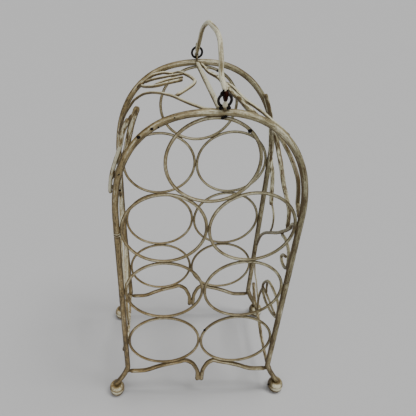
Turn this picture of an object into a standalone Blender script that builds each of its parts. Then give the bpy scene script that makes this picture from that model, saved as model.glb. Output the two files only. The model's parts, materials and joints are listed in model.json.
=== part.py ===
"""Wrought iron wine rack for seven bottles.

Two arched panels of seven rings stand on ball feet. A ridge bar and forged vines, twigs and
leaves join the panels along the roof and both side walls. A bail handle hangs on two wire
links, which hang in staples on the crowns of the arches.

Metres, +Z up. The front panel is at -Y, the floor at Z = 0, the middle plane at X = 0.
"""
import math

import bmesh
import bpy
import numpy as np

# Driving dimensions
RING_PITCH = 0.100            # between the centres of neighbouring bottle rings
PANEL_SPACING = 0.149         # from the front panel's plane to the back panel's plane
BOTTOM_ROW_HEIGHT = 0.1225    # floor to the centres of the lowest rings
FIT_GAP = 0.0003              # between two pieces that are welded or rest on each other

BAR_DIAMETER = 0.0075         # arches and legs
ARCH_RISE = {"front": 0.1315, "back": 0.1333}
FOOT_SPLAY = 0.0190           # how far a foot stands outside its leg
KNEE_DROP = 0.0600            # lowest ring centres down to where the legs start to splay
LEG_BOW = {"front_left": 0.0, "front_right": 0.0, "back_left": 0.0040, "back_right": 0.0005}

FOOT_DIAMETER = 0.0230
FOOT_HEIGHT = 0.0198

RING_WIRE = 0.0038
RING_SQUASH = 0.0002          # how deep two rings are pressed flat where they are welded

RAIL_DIAMETER = 0.0062
RAIL_TIP_DROP = 0.0950        # lowest ring centres down to the blunt tip in the middle
RAIL_TIP_OFFSET = 0.0038      # the tip hangs a little to the right of the middle
RIDGE_DIAMETER = 0.0055
RIDGE_OFFSETS = {"front": 0.0042, "back": -0.0050}   # from the middle, at the two crowns

HANDLE_DIAMETER = 0.0052
HANDLE_RISE = 0.0440          # above its front eye
HANDLE_END_WIRE = 0.0040      # where its ends are drawn out and curled into eyes
HANDLE_EYE_RADIUS = 0.0045    # to the middle of the curled wire
HANDLE_KINK = 0.0030          # how far it bends to the left just above its front eye
FRONT_HANDLE_OFFSET = 0.0068  # the handle is hung a little askew
BACK_HANDLE_OFFSET = -0.0050

LINK_RADIUS = 0.00625         # to the middle of the wire
LINK_WIRE = 0.0025
STAPLE_RADIUS = 0.0031
STAPLE_WIRE = 0.0020
LINK_PLAY = 0.0005            # between a link and the crown under it

VINE_DIAMETERS = (0.0070, 0.0050)
SHOULDER_VINE_DIAMETERS = (0.0050, 0.0050)
TWIG_DIAMETERS = (0.0064, 0.0058)
TENDRIL_DIAMETERS = (0.0046, 0.0046)
CURL_DIAMETERS = (0.0044, 0.0040)
LEAF_RIM_DIAMETERS = (0.0040, 0.0040)
LEAF_VEIN_DIAMETERS = (0.0036, 0.0030)
STEM_DIAMETERS = (0.0040, 0.0040)
LOW_TWIG_DIAMETERS = (0.0058, 0.0046)
THIN_WIRE_DIAMETERS = (0.0030, 0.0028)
THIN_STRAND_DIAMETERS = (0.0024, 0.0024)
ROOF_TWIG_DIAMETERS = (0.0044, 0.0030)
ROOF_BARK_DIAMETERS = (0.0036, 0.0066)
ROOF_WIRE_DIAMETERS = (0.0034, 0.0034)
HEAD_TWIG_DIAMETERS = (0.0066, 0.0062)
HEAD_PRONG_DIAMETERS = (0.0050, 0.0044)

# Steps of the round shapes
BAR_SIDES = 8
STRAND_SIDES = 8
WIRE_SIDES = 6
RING_STEPS = 32
LINK_STEPS = 18
FOOT_SIDES = 12
LONGEST_STEP = 0.016          # between two cross-sections of a bar
ROUTE_STEP = 0.00025          # between the points of a route before it is thinned out
TRIM_POINTS = 96              # of a route, within which an end may be cut back to its seat
SHORT_STEP_SHARE = 0.05       # of the longest step, below which a last step is joined to another
TURN_PER_STEP = math.radians(15.0)
SHARP_ANGLE = math.radians(40.0)
HELPER_DECIMALS = 6           # so that rounding never turns a bar's cross-section
SETTLE_ROUNDS = 3
SETTLE_STEPS = 40
SETTLE_TOLERANCE = 0.00001

# Worked out from the driving dimensions
HALF_PITCH = RING_PITCH / 2
HALF_SPACING = PANEL_SPACING / 2
BAR_RADIUS = BAR_DIAMETER / 2
RAIL_RADIUS = RAIL_DIAMETER / 2
WIRE_RADIUS = RING_WIRE / 2
LINK_WIRE_RADIUS = LINK_WIRE / 2
STAPLE_WIRE_RADIUS = STAPLE_WIRE / 2
LEG_OFFSET = RING_PITCH + BAR_RADIUS + FIT_GAP

PANELS = {"front": -1, "back": 1}
SIDES = {"left": -1, "right": 1}

# Outlines and places, in shares of the sizes that they follow
SPRING_SHARE = 4.2            # where the arches spring, in half pitches above the lowest centres
ARCH_FULLNESS = {"front_left": 2.55, "front_right": 2.25, "back_left": 2.45, "back_right": 2.17}
RING_ROW_SHARES = {"bottom": 0.0, "middle": 2.0, "upper": 4.0}   # half pitches
LEG_FLARE_SHARES = (          # down from the knee to the leg's tip, out to the foot's centre
    (0.00, 0.00), (0.11, 0.08), (0.38, 0.31), (0.71, 0.72), (0.87, 0.94), (0.94, 1.00),
    (1.00, 1.00))
FOOT_PROFILE_SHARES = (       # of the foot's radius and height, from the floor to the dimple
    (0.00, 0.00), (0.50, 0.00), (0.86, 0.16), (1.00, 0.45), (0.95, 0.70), (0.78, 0.93),
    (0.66, 1.00), (0.55, 0.97), (0.47, 0.86), (0.00, 0.86))
FOOT_DIMPLE_SHARE = 0.86
RAIL_SHARES = (               # out from the middle in half pitches, down from the lowest centres
    (2.09, -1.385), (1.80, -1.40), (1.50, -1.35), (1.20, -1.19), (1.00, -1.09), (0.70, -0.95),
    (0.50, -0.91), (0.36, -0.95), (0.22, -1.08), (0.12, -1.30))
RAIL_LEAN_SHARE = 1.0         # half pitches over which the tip's offset fades out
HANDLE_SHARES = (             # across between the panels, up from the eyes to the top, kink
    (-0.87, 0.34, 0.9), (-0.79, 0.60, 0.8), (-0.63, 0.82, 0.4), (-0.49, 0.93, 0.1),
    (-0.27, 1.00, 0.0), (0.03, 1.00, 0.0), (0.24, 0.98, 0.0), (0.53, 0.79, 0.0),
    (0.69, 0.60, 0.0), (0.78, 0.41, 0.0))
FRONT_CURL_DEGREES = (145.0, 400.0)
BACK_CURL_DEGREES = (180.0, 450.0)
CURL_STEPS = 12
CURL_TAPER_SHARE = 0.05       # of the handle's length, at each end

# Routes on a side wall: height in half pitches above the lowest ring centres, place across
# from the front panel (-1) to the back panel (1), and out from the legs' plane in half pitches
VINE_SHARES = (
    (5.10, 0.98, 0.0), (5.08, 0.70, 0.0), (4.77, 0.52, 0.0), (4.62, 0.39, 0.0), (4.44, 0.23, 0.0),
    (4.19, 0.00, 0.0), (4.01, -0.32, 0.0), (3.88, -0.47, 0.0), (3.61, -0.53, 0.0),
    (3.45, -0.53, 0.0))
SHOULDER_VINE_SHARES = (
    (5.26, 0.98, 0.0), (5.28, 0.68, 0.0), (5.28, 0.15, 0.0), (5.24, -0.28, 0.0),
    (5.04, -0.60, 0.0), (4.78, -0.70, 0.0), (4.40, -0.75, 0.0), (4.14, -0.96, 0.0))
TWIG_SHARES = (
    (6.06, 0.905, 0.095), (5.80, 0.905, 0.03), (5.49, 0.905, 0.0), (5.07, 0.905, -0.045),
    (4.62, 0.905, -0.058), (4.19, 0.905, -0.015), (3.86, 0.70, 0.01), (3.46, 0.58, 0.01),
    (3.07, 0.46, 0.0))
TWIG_WIRE_SHARES = (
    (3.14, 0.47, 0.0), (3.10, 0.34, 0.0), (2.94, 0.20, 0.0), (2.61, 0.18, 0.0), (2.30, 0.30, 0.0),
    (2.10, 0.43, 0.0))
TENDRIL_SHARES = (
    (3.99, -0.95, 0.0), (3.88, -0.83, 0.0), (3.73, -0.71, 0.0), (3.57, -0.66, 0.0),
    (3.39, -0.56, 0.0), (3.16, -0.40, 0.0), (2.79, -0.14, 0.0), (2.29, 0.275, 0.0),
    (1.93, 0.557, 0.0), (1.56, 0.77, 0.0), (1.20, 0.88, 0.0), (0.90, 0.93, 0.0))
CURL_SHARES = (
    (2.87, -0.20, 0.0), (3.08, -0.50, 0.0), (3.08, -0.69, 0.0), (3.00, -0.805, 0.0),
    (2.80, -0.872, 0.0), (2.58, -0.88, 0.0), (2.44, -0.79, 0.0), (2.40, -0.64, 0.0),
    (2.49, -0.55, 0.0), (2.64, -0.617, 0.0), (2.75, -0.75, 0.0))
LEAF_RIM_SHARES = (
    (0.33, 0.07, 0.0), (0.57, 0.06, 0.0), (0.84, -0.06, 0.0), (1.03, -0.20, 0.0),
    (1.17, -0.46, 0.0), (1.22, -0.66, 0.0), (1.18, -0.86, 0.0), (0.98, -0.93, 0.0),
    (0.74, -0.90, 0.0), (0.54, -0.73, 0.0), (0.42, -0.56, 0.0), (0.30, -0.33, 0.0),
    (0.25, -0.12, 0.0))
LEAF_MIDRIB_SHARES = (
    (0.38, 0.12, 0.0), (0.44, 0.00, 0.0), (0.52, -0.18, 0.0), (0.58, -0.38, 0.0),
    (0.62, -0.55, 0.0), (0.67, -0.73, 0.0), (0.80, -0.94, 0.0))
LEAF_VEIN_SHARES = (
    (0.99, -0.14, 0.0), (0.84, -0.135, 0.0), (0.68, -0.15, 0.0), (0.50, -0.22, 0.0))
STEM_SHARES = (
    (0.30, 0.08, 0.0), (0.06, 0.154, 0.0), (-0.31, 0.20, 0.0), (-0.54, 0.174, 0.0),
    (-0.88, 0.12, 0.0))
LOW_TWIG_SHARES = (
    (-0.65, 0.87, 0.09), (-0.74, 0.70, 0.06), (-0.83, 0.50, 0.02), (-0.84, 0.215, 0.0),
    (-0.91, -0.013, 0.0), (-0.98, -0.228, 0.0), (-1.09, -0.336, 0.0), (-1.14, -0.477, 0.0),
    (-1.18, -0.61, 0.0), (-1.20, -0.77, 0.0), (-1.27, -0.97, 0.0))
THIN_STRAND_SHARES = (
    (0.70, 0.94, 0.0), (0.33, 0.84, 0.0), (0.04, 0.70, 0.0), (-0.06, 0.537, 0.0),
    (-0.38, 0.26, 0.0), (-0.48, 0.17, 0.0))

# Routes on the roof: place along the quarter turn from where the arch springs (0) to its
# crown (1), place across from the front (-1) to the back (1), and up in half pitches
ROOF_TWIG_SHARES = (
    (0.905, 0.10, 0.0), (0.882, 0.085, 0.0), (0.856, -0.044, 0.0), (0.835, -0.211, 0.0),
    (0.821, -0.343, 0.0), (0.796, -0.476, 0.0), (0.758, -0.575, 0.01), (0.714, -0.69, 0.02),
    (0.675, -0.82, 0.03), (0.635, -0.88, 0.04), (0.592, -0.90, 0.045), (0.545, -0.90, 0.06),
    (0.50, -0.86, 0.08))
ROOF_BARK_SHARES = (
    (1.000, 0.98, 0.0), (0.978, 0.553, 0.0), (0.927, 0.276, 0.0), (0.898, -0.042, 0.0),
    (0.868, -0.354, 0.0), (0.842, -0.50, 0.0), (0.815, -0.75, 0.0), (0.785, -0.92, 0.0),
    (0.775, -1.00, 0.0))
ROOF_WIRE_SHARES = (
    (0.999, -0.925, 0.0), (0.968, -0.88, 0.0), (0.93, -0.76, 0.0), (0.873, -0.55, 0.0),
    (0.828, -0.34, 0.0), (0.78, -0.17, 0.0), (0.74, -0.03, 0.0), (0.677, 0.17, 0.0),
    (0.60, 0.38, 0.0), (0.53, 0.50, 0.0), (0.48, 0.57, 0.0), (0.425, 0.60, 0.0),
    (0.365, 0.64, 0.0), (0.315, 0.70, 0.0), (0.215, 0.81, 0.0), (0.145, 0.93, 0.0))
ROOF_LEAF_RIM_SHARES = (
    (0.552, 0.945, 0.0), (0.642, 0.935, 0.0), (0.688, 0.93, 0.0), (0.735, 0.93, -0.04),
    (0.778, 0.93, -0.08), (0.845, 0.945, -0.18), (0.878, 0.77, -0.08), (0.91, 0.54, -0.03),
    (0.932, 0.36, 0.0), (0.953, 0.15, 0.0), (0.935, -0.03, 0.0), (0.883, -0.20, 0.0),
    (0.825, -0.34, 0.0))
ROOF_LEAF_MIDRIB_SHARES = (
    (0.575, 0.93, 0.0), (0.682, 0.73, 0.0), (0.758, 0.60, 0.0), (0.823, 0.54, 0.0),
    (0.920, 0.50, 0.0))
ROOF_LEAF_LOWER_SHARES = (
    (0.565, 0.93, -0.03), (0.603, 0.68, 0.0), (0.68, 0.42, 0.0), (0.753, 0.30, 0.0),
    (0.838, 0.26, 0.0), (0.89, 0.25, 0.0))
ROOF_LEAF_VEIN_SHARES = (
    (0.655, 0.46, 0.0), (0.753, 0.43, 0.0), (0.80, 0.40, 0.0), (0.86, 0.37, 0.0),
    (0.895, 0.36, 0.0))

# Routes behind the front arch's left shoulder: out in shares of the legs' offset, up from
# where the arch springs in shares of its rise
HEAD_TWIG_SHARES = (
    (0.724, 1.027), (0.753, 0.981), (0.791, 0.871), (0.825, 0.764), (0.851, 0.677),
    (0.875, 0.616), (0.920, 0.536), (0.959, 0.452))
HEAD_PRONG_SHARES = (
    (0.795, 0.935), (0.835, 0.87), (0.865, 0.81), (0.892, 0.732), (0.935, 0.639),
    (0.985, 0.510), (1.024, 0.384), (1.036, 0.289))

PAINT = (0.60, 0.54, 0.41, 1.0)
BARK_PAINT = (0.50, 0.44, 0.32, 1.0)
WORN_IRON = (0.05, 0.045, 0.04, 1.0)
PAINT_ROUGHNESS = 0.55
BARK_ROUGHNESS = 0.75
IRON_ROUGHNESS = 0.45

laid_bars = []                # the middle lines and radii of the bars made so far


def clear_scene():
    for thing in list(bpy.data.objects):
        bpy.data.objects.remove(thing, do_unlink=True)


def material(name, colour, roughness, metallic):
    made = bpy.data.materials.get(name)
    if made is None:
        made = bpy.data.materials.new(name)
        made.use_nodes = True
        shader = made.node_tree.nodes["Principled BSDF"]
        shader.inputs["Base Color"].default_value = colour
        shader.inputs["Roughness"].default_value = roughness
        shader.inputs["Metallic"].default_value = metallic
        made.diffuse_color = colour
    return made


def painted_iron():
    return material("painted_iron", PAINT, PAINT_ROUGHNESS, 0.0)


def bark_iron():
    return material("bark_iron", BARK_PAINT, BARK_ROUGHNESS, 0.0)


def black_wire():
    return material("black_wire", WORN_IRON, IRON_ROUGHNESS, 1.0)


# Middle lines


def unit(vectors):
    return vectors / np.linalg.norm(vectors, axis=-1, keepdims=True)


def smooth_route(places, closed=False):
    """A Catmull-Rom curve through the places, with a point every ROUTE_STEP or so."""
    places = np.array(places, dtype=float)
    count = len(places)
    if closed:
        padded = np.vstack([places[-1:], places, places[:2]])
    else:
        padded = np.vstack([2 * places[0] - places[1], places, 2 * places[-1] - places[-2]])
    spans = count if closed else count - 1
    points = []
    for span in range(spans):
        before, start, end, after = padded[span:span + 4]
        steps = max(2, math.ceil(np.linalg.norm(end - start) / ROUTE_STEP))
        share = np.arange(steps)[:, None] / steps
        points.append(0.5 * (2 * start + (end - before) * share
                             + (2 * before - 5 * start + 4 * end - after) * share ** 2
                             + (3 * start - before - 3 * end + after) * share ** 3))
    if not closed:
        points.append(places[-1:])
    return np.vstack(points)


def thin_out(points, turn=TURN_PER_STEP, longest=LONGEST_STEP):
    """The points of a route at which a bar needs a cross-section."""
    steps = np.diff(points, axis=0)
    lengths = np.linalg.norm(steps, axis=1)
    heading = steps / lengths[:, None]
    kept = [0]
    travelled = 0.0
    for place in range(1, len(points) - 1):
        travelled += lengths[place - 1]
        bend = math.acos(min(1.0, float(heading[place] @ heading[kept[-1]])))
        if bend > turn or travelled > longest:
            kept.append(place)
            travelled = 0.0
    if travelled < longest * SHORT_STEP_SHARE and len(kept) > 2:
        kept.pop()
    kept.append(len(points) - 1)
    return points[kept]


def tapered(points, diameters):
    """A radius for each point, from the first diameter to the last along the route."""
    lengths = np.linalg.norm(np.diff(points, axis=0), axis=1)
    share = np.concatenate([[0.0], np.cumsum(lengths)]) / lengths.sum()
    first, last = diameters
    return (first + (last - first) * share) / 2


# Keeping the bars clear of each other


def pieces_of(points, radii, closed=False):
    """The straight pieces of a bar: starts, ends and the radii at both."""
    if closed:
        return points, np.roll(points, -1, axis=0), radii, np.roll(radii, -1)
    return points[:-1], points[1:], radii[:-1], radii[1:]


def bars_near(points, radii, reach=0.0):
    """The straight pieces of the laid bars whose boxes come near these points."""
    room = radii.max() + FIT_GAP + reach
    low, high = points.min(axis=0) - room, points.max(axis=0) + room
    near = []
    for starts, ends, start_radii, end_radii in laid_bars:
        wide = np.maximum(start_radii, end_radii)[:, None]
        inside = np.all(np.maximum(starts, ends) + wide > low, axis=1)
        inside &= np.all(np.minimum(starts, ends) - wide < high, axis=1)
        near.append((starts[inside], ends[inside], start_radii[inside], end_radii[inside]))
    return [np.concatenate(columns) for columns in zip(*near)]


def shortfalls(own, other, at_start_only=False):
    """How much closer than allowed each own piece lies to each other piece, and which way out.

    A flat end needs less room the more squarely it meets the other bar.
    """
    starts, ends, start_radii, end_radii = own
    other_starts, other_ends, other_start_radii, other_end_radii = other
    run = ends - starts
    other_run = other_ends - other_starts
    between = starts[:, None] - other_starts[None]
    run_run = (run * run).sum(-1)[:, None]
    other_other = (other_run * other_run).sum(-1)[None]
    run_other = run @ other_run.T
    run_between = np.einsum("ik,ijk->ij", run, between)
    other_between = np.einsum("jk,ijk->ij", other_run, between)
    if at_start_only:
        share = np.zeros_like(run_other)
        other_share = np.clip(other_between / other_other, 0.0, 1.0)
    else:
        spread = np.maximum(run_run * other_other - run_other ** 2, 1e-18)
        share = np.clip((run_other * other_between - run_between * other_other) / spread, 0.0, 1.0)
        other_share = np.clip((run_other * share + other_between) / other_other, 0.0, 1.0)
        share = np.clip((run_other * other_share - run_between) / run_run, 0.0, 1.0)
    apart = between + share[..., None] * run[:, None] - other_share[..., None] * other_run[None]
    distance = np.maximum(np.linalg.norm(apart, axis=-1), 1e-9)
    way = apart / distance[..., None]
    along = np.einsum("ijk,ik->ij", way, unit(run))
    other_along = np.einsum("ijk,jk->ij", way, unit(other_run))
    reach = (start_radii[:, None] * (1 - share) + end_radii[:, None] * share)
    other_reach = other_start_radii[None] * (1 - other_share) + other_end_radii[None] * other_share
    needed = (reach * np.sqrt(np.maximum(0.0, 1 - along ** 2))
              + other_reach * np.sqrt(np.maximum(0.0, 1 - other_along ** 2)) + FIT_GAP)
    return needed - distance, way, share


def cut_back(points, radii):
    """The route without the start that would lie inside the bar on which it is seated."""
    head = pieces_of(points[:TRIM_POINTS], radii[:TRIM_POINTS])
    near = bars_near(points[:TRIM_POINTS], radii[:TRIM_POINTS])
    if not len(near[0]):
        return points, radii
    free = shortfalls(head, near, at_start_only=True)[0].max(axis=1) <= 0.0
    first = int(np.argmax(free)) if free.any() else 0
    return points[first:], radii[first:]


def settle(points, radii, closed=False):
    """Moves the points of a bar just clear of the bars that are laid already."""
    near = bars_near(points, radii, LONGEST_STEP)
    if not len(near[0]):
        return points
    count = len(points)
    settled = points.copy()
    for _ in range(SETTLE_ROUNDS):
        moved = settled - points
        before, after = np.roll(moved, 1, axis=0), np.roll(moved, -1, axis=0)
        if not closed:
            before[0], after[-1] = moved[0], moved[-1]
        settled = points + (before + 2 * moved + after) / 4
        for _ in range(SETTLE_STEPS):
            depth, way, share = shortfalls(pieces_of(settled, radii, closed), near)
            rows = np.arange(len(depth))
            worst = depth.argmax(axis=1)
            push = depth[rows, worst]
            if push.max() < SETTLE_TOLERANCE:
                break
            push = np.maximum(push, 0.0)[:, None]
            share = share[rows, worst][:, None]
            move = way[rows, worst] * push / (share ** 2 + (1 - share) ** 2)
            shift = np.zeros_like(settled)
            hits = np.zeros((count, 1))
            for place, weight in ((rows, 1 - share), ((rows + 1) % count, share)):
                np.add.at(shift, place, move * weight)
                np.add.at(hits, place, (push > 0.0) * (weight > 0.0))
            settled = settled + shift / np.maximum(hits, 1.0)
    return settled


# Solids


def add_object(name, verts, faces, stuff, origin=(0.0, 0.0, 0.0)):
    """One object, its origin at the given place, from vertices in world space."""
    mesh = bpy.data.meshes.new(name)
    shape = bmesh.new()
    made = [shape.verts.new(np.array(vert) - origin) for vert in verts]
    for face in faces:
        shape.faces.new([made[corner] for corner in face])
    bmesh.ops.recalc_face_normals(shape, faces=shape.faces)
    shape.to_mesh(mesh)
    shape.free()
    mesh.shade_smooth()
    mesh.set_sharp_from_angle(angle=SHARP_ANGLE)
    mesh.materials.append(stuff)
    made_object = bpy.data.objects.new(name, mesh)
    made_object.location = origin
    bpy.context.scene.collection.objects.link(made_object)
    return made_object


def cross_frames(points, closed):
    """Two directions square to the route at each point, turned as little as possible."""
    if closed:
        tangents = unit(np.roll(points, -1, axis=0) - np.roll(points, 1, axis=0))
    else:
        steps = unit(np.diff(points, axis=0))
        tangents = unit(np.vstack([steps[:1], steps[:-1] + steps[1:], steps[-1:]]))
    helper = np.eye(3)[np.argmin(np.round(np.abs(tangents[0]), HELPER_DECIMALS))]
    first = unit(np.cross(tangents[0], helper))
    firsts = [first]
    for tangent in tangents[1:]:
        first = unit(first - tangent * (first @ tangent))
        firsts.append(first)
    firsts = np.array(firsts)
    if closed:
        back = unit(first - tangents[0] * (first @ tangents[0]))
        twist = math.atan2(np.cross(back, firsts[0]) @ tangents[0], back @ firsts[0])
        angles = twist * np.arange(len(points)) / len(points)
        seconds = np.cross(tangents, firsts)
        firsts = firsts * np.cos(angles)[:, None] + seconds * np.sin(angles)[:, None]
    return firsts, np.cross(tangents, firsts)


def bar_solid(name, points, radii, sides, stuff, closed=False, flats=(), origin=(0.0, 0.0, 0.0)):
    """A round bar along the points, pressed flat against the planes in flats."""
    firsts, seconds = cross_frames(points, closed)
    turns = 2 * math.pi * (np.arange(sides) + 0.5) / sides
    verts = (points[:, None] + radii[:, None, None]
             * (np.cos(turns)[None, :, None] * firsts[:, None]
                + np.sin(turns)[None, :, None] * seconds[:, None])).reshape(-1, 3)
    for place, outward in flats:
        depth = np.maximum((verts - place) @ outward, 0.0)
        verts = verts - depth[:, None] * outward
    count = len(points)
    faces = []
    for step in range(count if closed else count - 1):
        here, ahead = step * sides, (step + 1) % count * sides
        for side in range(sides):
            beside = (side + 1) % sides
            faces.append((here + side, here + beside, ahead + beside, ahead + side))
    if not closed:
        faces.append(tuple(reversed(range(sides))))
        faces.append(tuple(range((count - 1) * sides, count * sides)))
    return add_object(name, verts, faces, stuff, origin)


def lay(name, route, diameters, stuff, cut_start=True, cut_end=True):
    """A forged strand along a route, seated on the bars that it meets."""
    points = smooth_route(route)
    radii = tapered(points, diameters)
    if cut_start:
        points, radii = cut_back(points, radii)
    if cut_end:
        points, radii = cut_back(points[::-1], radii[::-1])
        points, radii = points[::-1], radii[::-1]
    ends = (2 * radii[0], 2 * radii[-1])
    points = thin_out(points)
    radii = tapered(points, ends)
    points = settle(points, radii)
    laid_bars.append(pieces_of(points, radii))
    return bar_solid(name, points, radii, STRAND_SIDES, stuff)


def lay_loop(name, route, diameters, stuff):
    """A closed rim of even thickness, such as a leaf's."""
    points = smooth_route(route, closed=True)
    points = thin_out(points)[:-1]
    radii = np.full(len(points), diameters[0] / 2)
    points = settle(points, radii, closed=True)
    laid_bars.append(pieces_of(points, radii, closed=True))
    return bar_solid(name, points, radii, STRAND_SIDES, stuff, closed=True)


# The panels


def up(share):
    """Height above the floor of a share of half pitches above the lowest ring centres."""
    return BOTTOM_ROW_HEIGHT + share * HALF_PITCH


def arch_place(panel, side, turn):
    """Offset from the middle and height at a share of an arch's quarter turn."""
    corner = panel + "_" + side
    power = 2 / ARCH_FULLNESS[corner]
    angle = turn * math.pi / 2
    offset = (LEG_OFFSET + LEG_BOW[corner]) * max(0.0, math.cos(angle)) ** power
    return offset, up(SPRING_SHARE) + ARCH_RISE[panel] * max(0.0, math.sin(angle)) ** power


def leg_offset(panel, side, height):
    """Offset from the middle of a leg, or of the arch above it, at a height in half pitches."""
    corner = panel + "_" + side
    bow = LEG_BOW[corner] * min(1.0, max(0.0, (height + 1.0) / 3.0))
    rise = max(0.0, up(height) - up(SPRING_SHARE)) / ARCH_RISE[panel]
    power = ARCH_FULLNESS[corner]
    return (LEG_OFFSET + bow) * max(0.0, 1.0 - rise ** power) ** (1 / power)


def leg_tip_height():
    return FOOT_HEIGHT * FOOT_DIMPLE_SHARE + FIT_GAP


def leg_places(panel, side):
    """A leg from its tip in the foot up to where the arch springs."""
    depth = PANELS[panel] * HALF_SPACING
    knee = BOTTOM_ROW_HEIGHT - KNEE_DROP
    drop = knee - leg_tip_height()
    flare = [(LEG_OFFSET + FOOT_SPLAY * out, depth, knee - drop * down)
             for down, out in reversed(LEG_FLARE_SHARES)]
    heights = (-0.5, 0.4, 1.4, 2.4, 3.4)
    return flare + [(leg_offset(panel, side, height), depth, up(height)) for height in heights]


def frame_route(panel):
    """One bar: up the right leg, over the arch and down the left leg."""
    depth = PANELS[panel] * HALF_SPACING
    places = leg_places(panel, "right")
    steps = 30
    for step in range(steps + 1):
        offset, height = arch_place(panel, "right", step / steps)
        places.append((offset, depth, height))
    for step in range(steps - 1, -1, -1):
        offset, height = arch_place(panel, "left", step / steps)
        places.append((-offset, depth, height))
    places += [(-offset, depth, height)
               for offset, depth, height in reversed(leg_places(panel, "left"))]
    return places


def make_frame(panel):
    points = thin_out(smooth_route(frame_route(panel)), math.radians(11.0), 3 * LONGEST_STEP)
    radii = np.full(len(points), BAR_RADIUS)
    laid_bars.append(pieces_of(points, radii))
    bar_solid(panel + "_frame", points, radii, BAR_SIDES, painted_iron())


def make_foot(panel, side):
    """A ball foot with a flat underside and a dimple that takes the leg's tip."""
    centre = np.array([SIDES[side] * (LEG_OFFSET + FOOT_SPLAY), PANELS[panel] * HALF_SPACING,
                       0.0])
    turns = 2 * math.pi * np.arange(FOOT_SIDES) / FOOT_SIDES
    verts = []
    for out, high in FOOT_PROFILE_SHARES[1:-1]:
        radius = out * FOOT_DIAMETER / 2
        verts += [centre + (radius * math.cos(turn), radius * math.sin(turn), high * FOOT_HEIGHT)
                  for turn in turns]
    rows = len(FOOT_PROFILE_SHARES) - 2
    faces = [tuple(range(FOOT_SIDES)), tuple(range((rows - 1) * FOOT_SIDES, rows * FOOT_SIDES))]
    for row in range(rows - 1):
        for here in range(FOOT_SIDES):
            beside = (here + 1) % FOOT_SIDES
            faces.append((row * FOOT_SIDES + here, row * FOOT_SIDES + beside,
                          (row + 1) * FOOT_SIDES + beside, (row + 1) * FOOT_SIDES + here))
    add_object("_".join(("foot", panel, side)), verts, faces, painted_iron())


def ring_shape(panel, row, side):
    """Centre offset and height, half width and half height of a ring, to its outer edge."""
    inner_face = leg_offset(panel, side, RING_ROW_SHARES[row]) - BAR_RADIUS
    half_width = inner_face / 2
    return SIDES[side] * half_width, up(RING_ROW_SHARES[row]), half_width, HALF_PITCH


def top_ring_shape(panel):
    """The ring that rests on the two upper ones and reaches the arch's crown."""
    crown = up(SPRING_SHARE) + ARCH_RISE[panel] - BAR_RADIUS - up(RING_ROW_SHARES["upper"])
    reach = (HALF_PITCH + crown) / HALF_PITCH
    climb = HALF_PITCH * (reach ** 2 - 1) / (2 * reach)
    return 0.0, up(RING_ROW_SHARES["upper"]) + climb, crown - climb, crown - climb


def flat(place, outward):
    """A plane that a bar doesn't pass, half the gap short of the place."""
    outward = unit(np.array(outward, dtype=float))
    return np.array(place) - outward * FIT_GAP / 2, outward


def ring_flats(panel, row, side, depth):
    """The planes where a ring is pressed against its neighbours and its leg."""
    centre, height, half_width, half_height = ring_shape(panel, row, side)
    out = SIDES[side]
    flats = [flat((0.0, depth, height), (-out, 0.0, 0.0)),
             flat((centre + out * half_width - out * FIT_GAP, depth, height), (out, 0.0, 0.0))]
    if row != "upper":
        flats.append(flat((centre, depth, height + half_height), (0.0, 0.0, 1.0)))
    if row != "bottom":
        flats.append(flat((centre, depth, height - half_height), (0.0, 0.0, -1.0)))
    if row == "upper":
        flats.append(top_ring_flat(panel, side, depth, out))
    return flats


def top_ring_flat(panel, side, depth, facing):
    """The plane between the top ring and an upper one; facing is the upper ring's side."""
    centre, height, half_width, _ = ring_shape(panel, "upper", side)
    _, top_height, top_radius, _ = top_ring_shape(panel)
    place = np.array([centre, depth, height])
    way = np.array([0.0, depth, top_height]) - place
    distance = np.linalg.norm(way)
    slack = (distance - half_width - top_radius) / 2
    touch = place + unit(way) * (half_width + slack)
    return flat(touch, unit(way) * facing * SIDES[side])


def make_ring(name, shape, depth, flats):
    centre, height, half_width, half_height = shape
    turns = 2 * math.pi * np.arange(RING_STEPS) / RING_STEPS
    inset = RING_SQUASH - WIRE_RADIUS
    points = np.stack([centre + (half_width + inset) * np.cos(turns), np.full(RING_STEPS, depth),
                       height + (half_height + inset) * np.sin(turns)], axis=1)
    radii = np.full(RING_STEPS, WIRE_RADIUS)
    laid_bars.append(pieces_of(points, radii, closed=True))
    bar_solid(name, points, radii, WIRE_SIDES, painted_iron(), closed=True, flats=flats)


def make_rings(panel):
    """Three rows of two rings, and one in the middle on top of them."""
    depth = PANELS[panel] * HALF_SPACING
    for row in RING_ROW_SHARES:
        for side in SIDES:
            make_ring("_".join(("ring", panel, row, side)), ring_shape(panel, row, side), depth,
                      ring_flats(panel, row, side, depth))
    shape = top_ring_shape(panel)
    flats = [top_ring_flat(panel, side, depth, -SIDES[side]) for side in SIDES]
    flats.append(flat((0.0, depth, shape[1] + shape[3] - 2 * FIT_GAP), (0.0, 0.0, 1.0)))
    make_ring("ring_" + panel + "_top", shape, depth, flats)


def rail_lean(away):
    """How far the rail is drawn to the right at some half pitches from the middle."""
    return RAIL_TIP_OFFSET * max(0.0, 1.0 - away / RAIL_LEAN_SHARE)


def make_rail(panel, side):
    """Half of the rail under the lowest rings, from a leg to the tip in the middle."""
    depth = PANELS[panel] * HALF_SPACING
    out = SIDES[side]
    route = [(out * away * HALF_PITCH + rail_lean(away), depth, up(height))
             for away, height in RAIL_SHARES]
    middle = RAIL_TIP_OFFSET + out * (RAIL_RADIUS + FIT_GAP)
    tip = BOTTOM_ROW_HEIGHT - RAIL_TIP_DROP
    route += [(middle, depth, tip + 3 * RAIL_DIAMETER), (middle, depth, tip + RAIL_DIAMETER),
              (middle, depth, tip)]
    lay("_".join(("rail", panel, side)), route, (RAIL_DIAMETER, RAIL_DIAMETER), painted_iron(),
        cut_end=False)


# The roof and the walls


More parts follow.
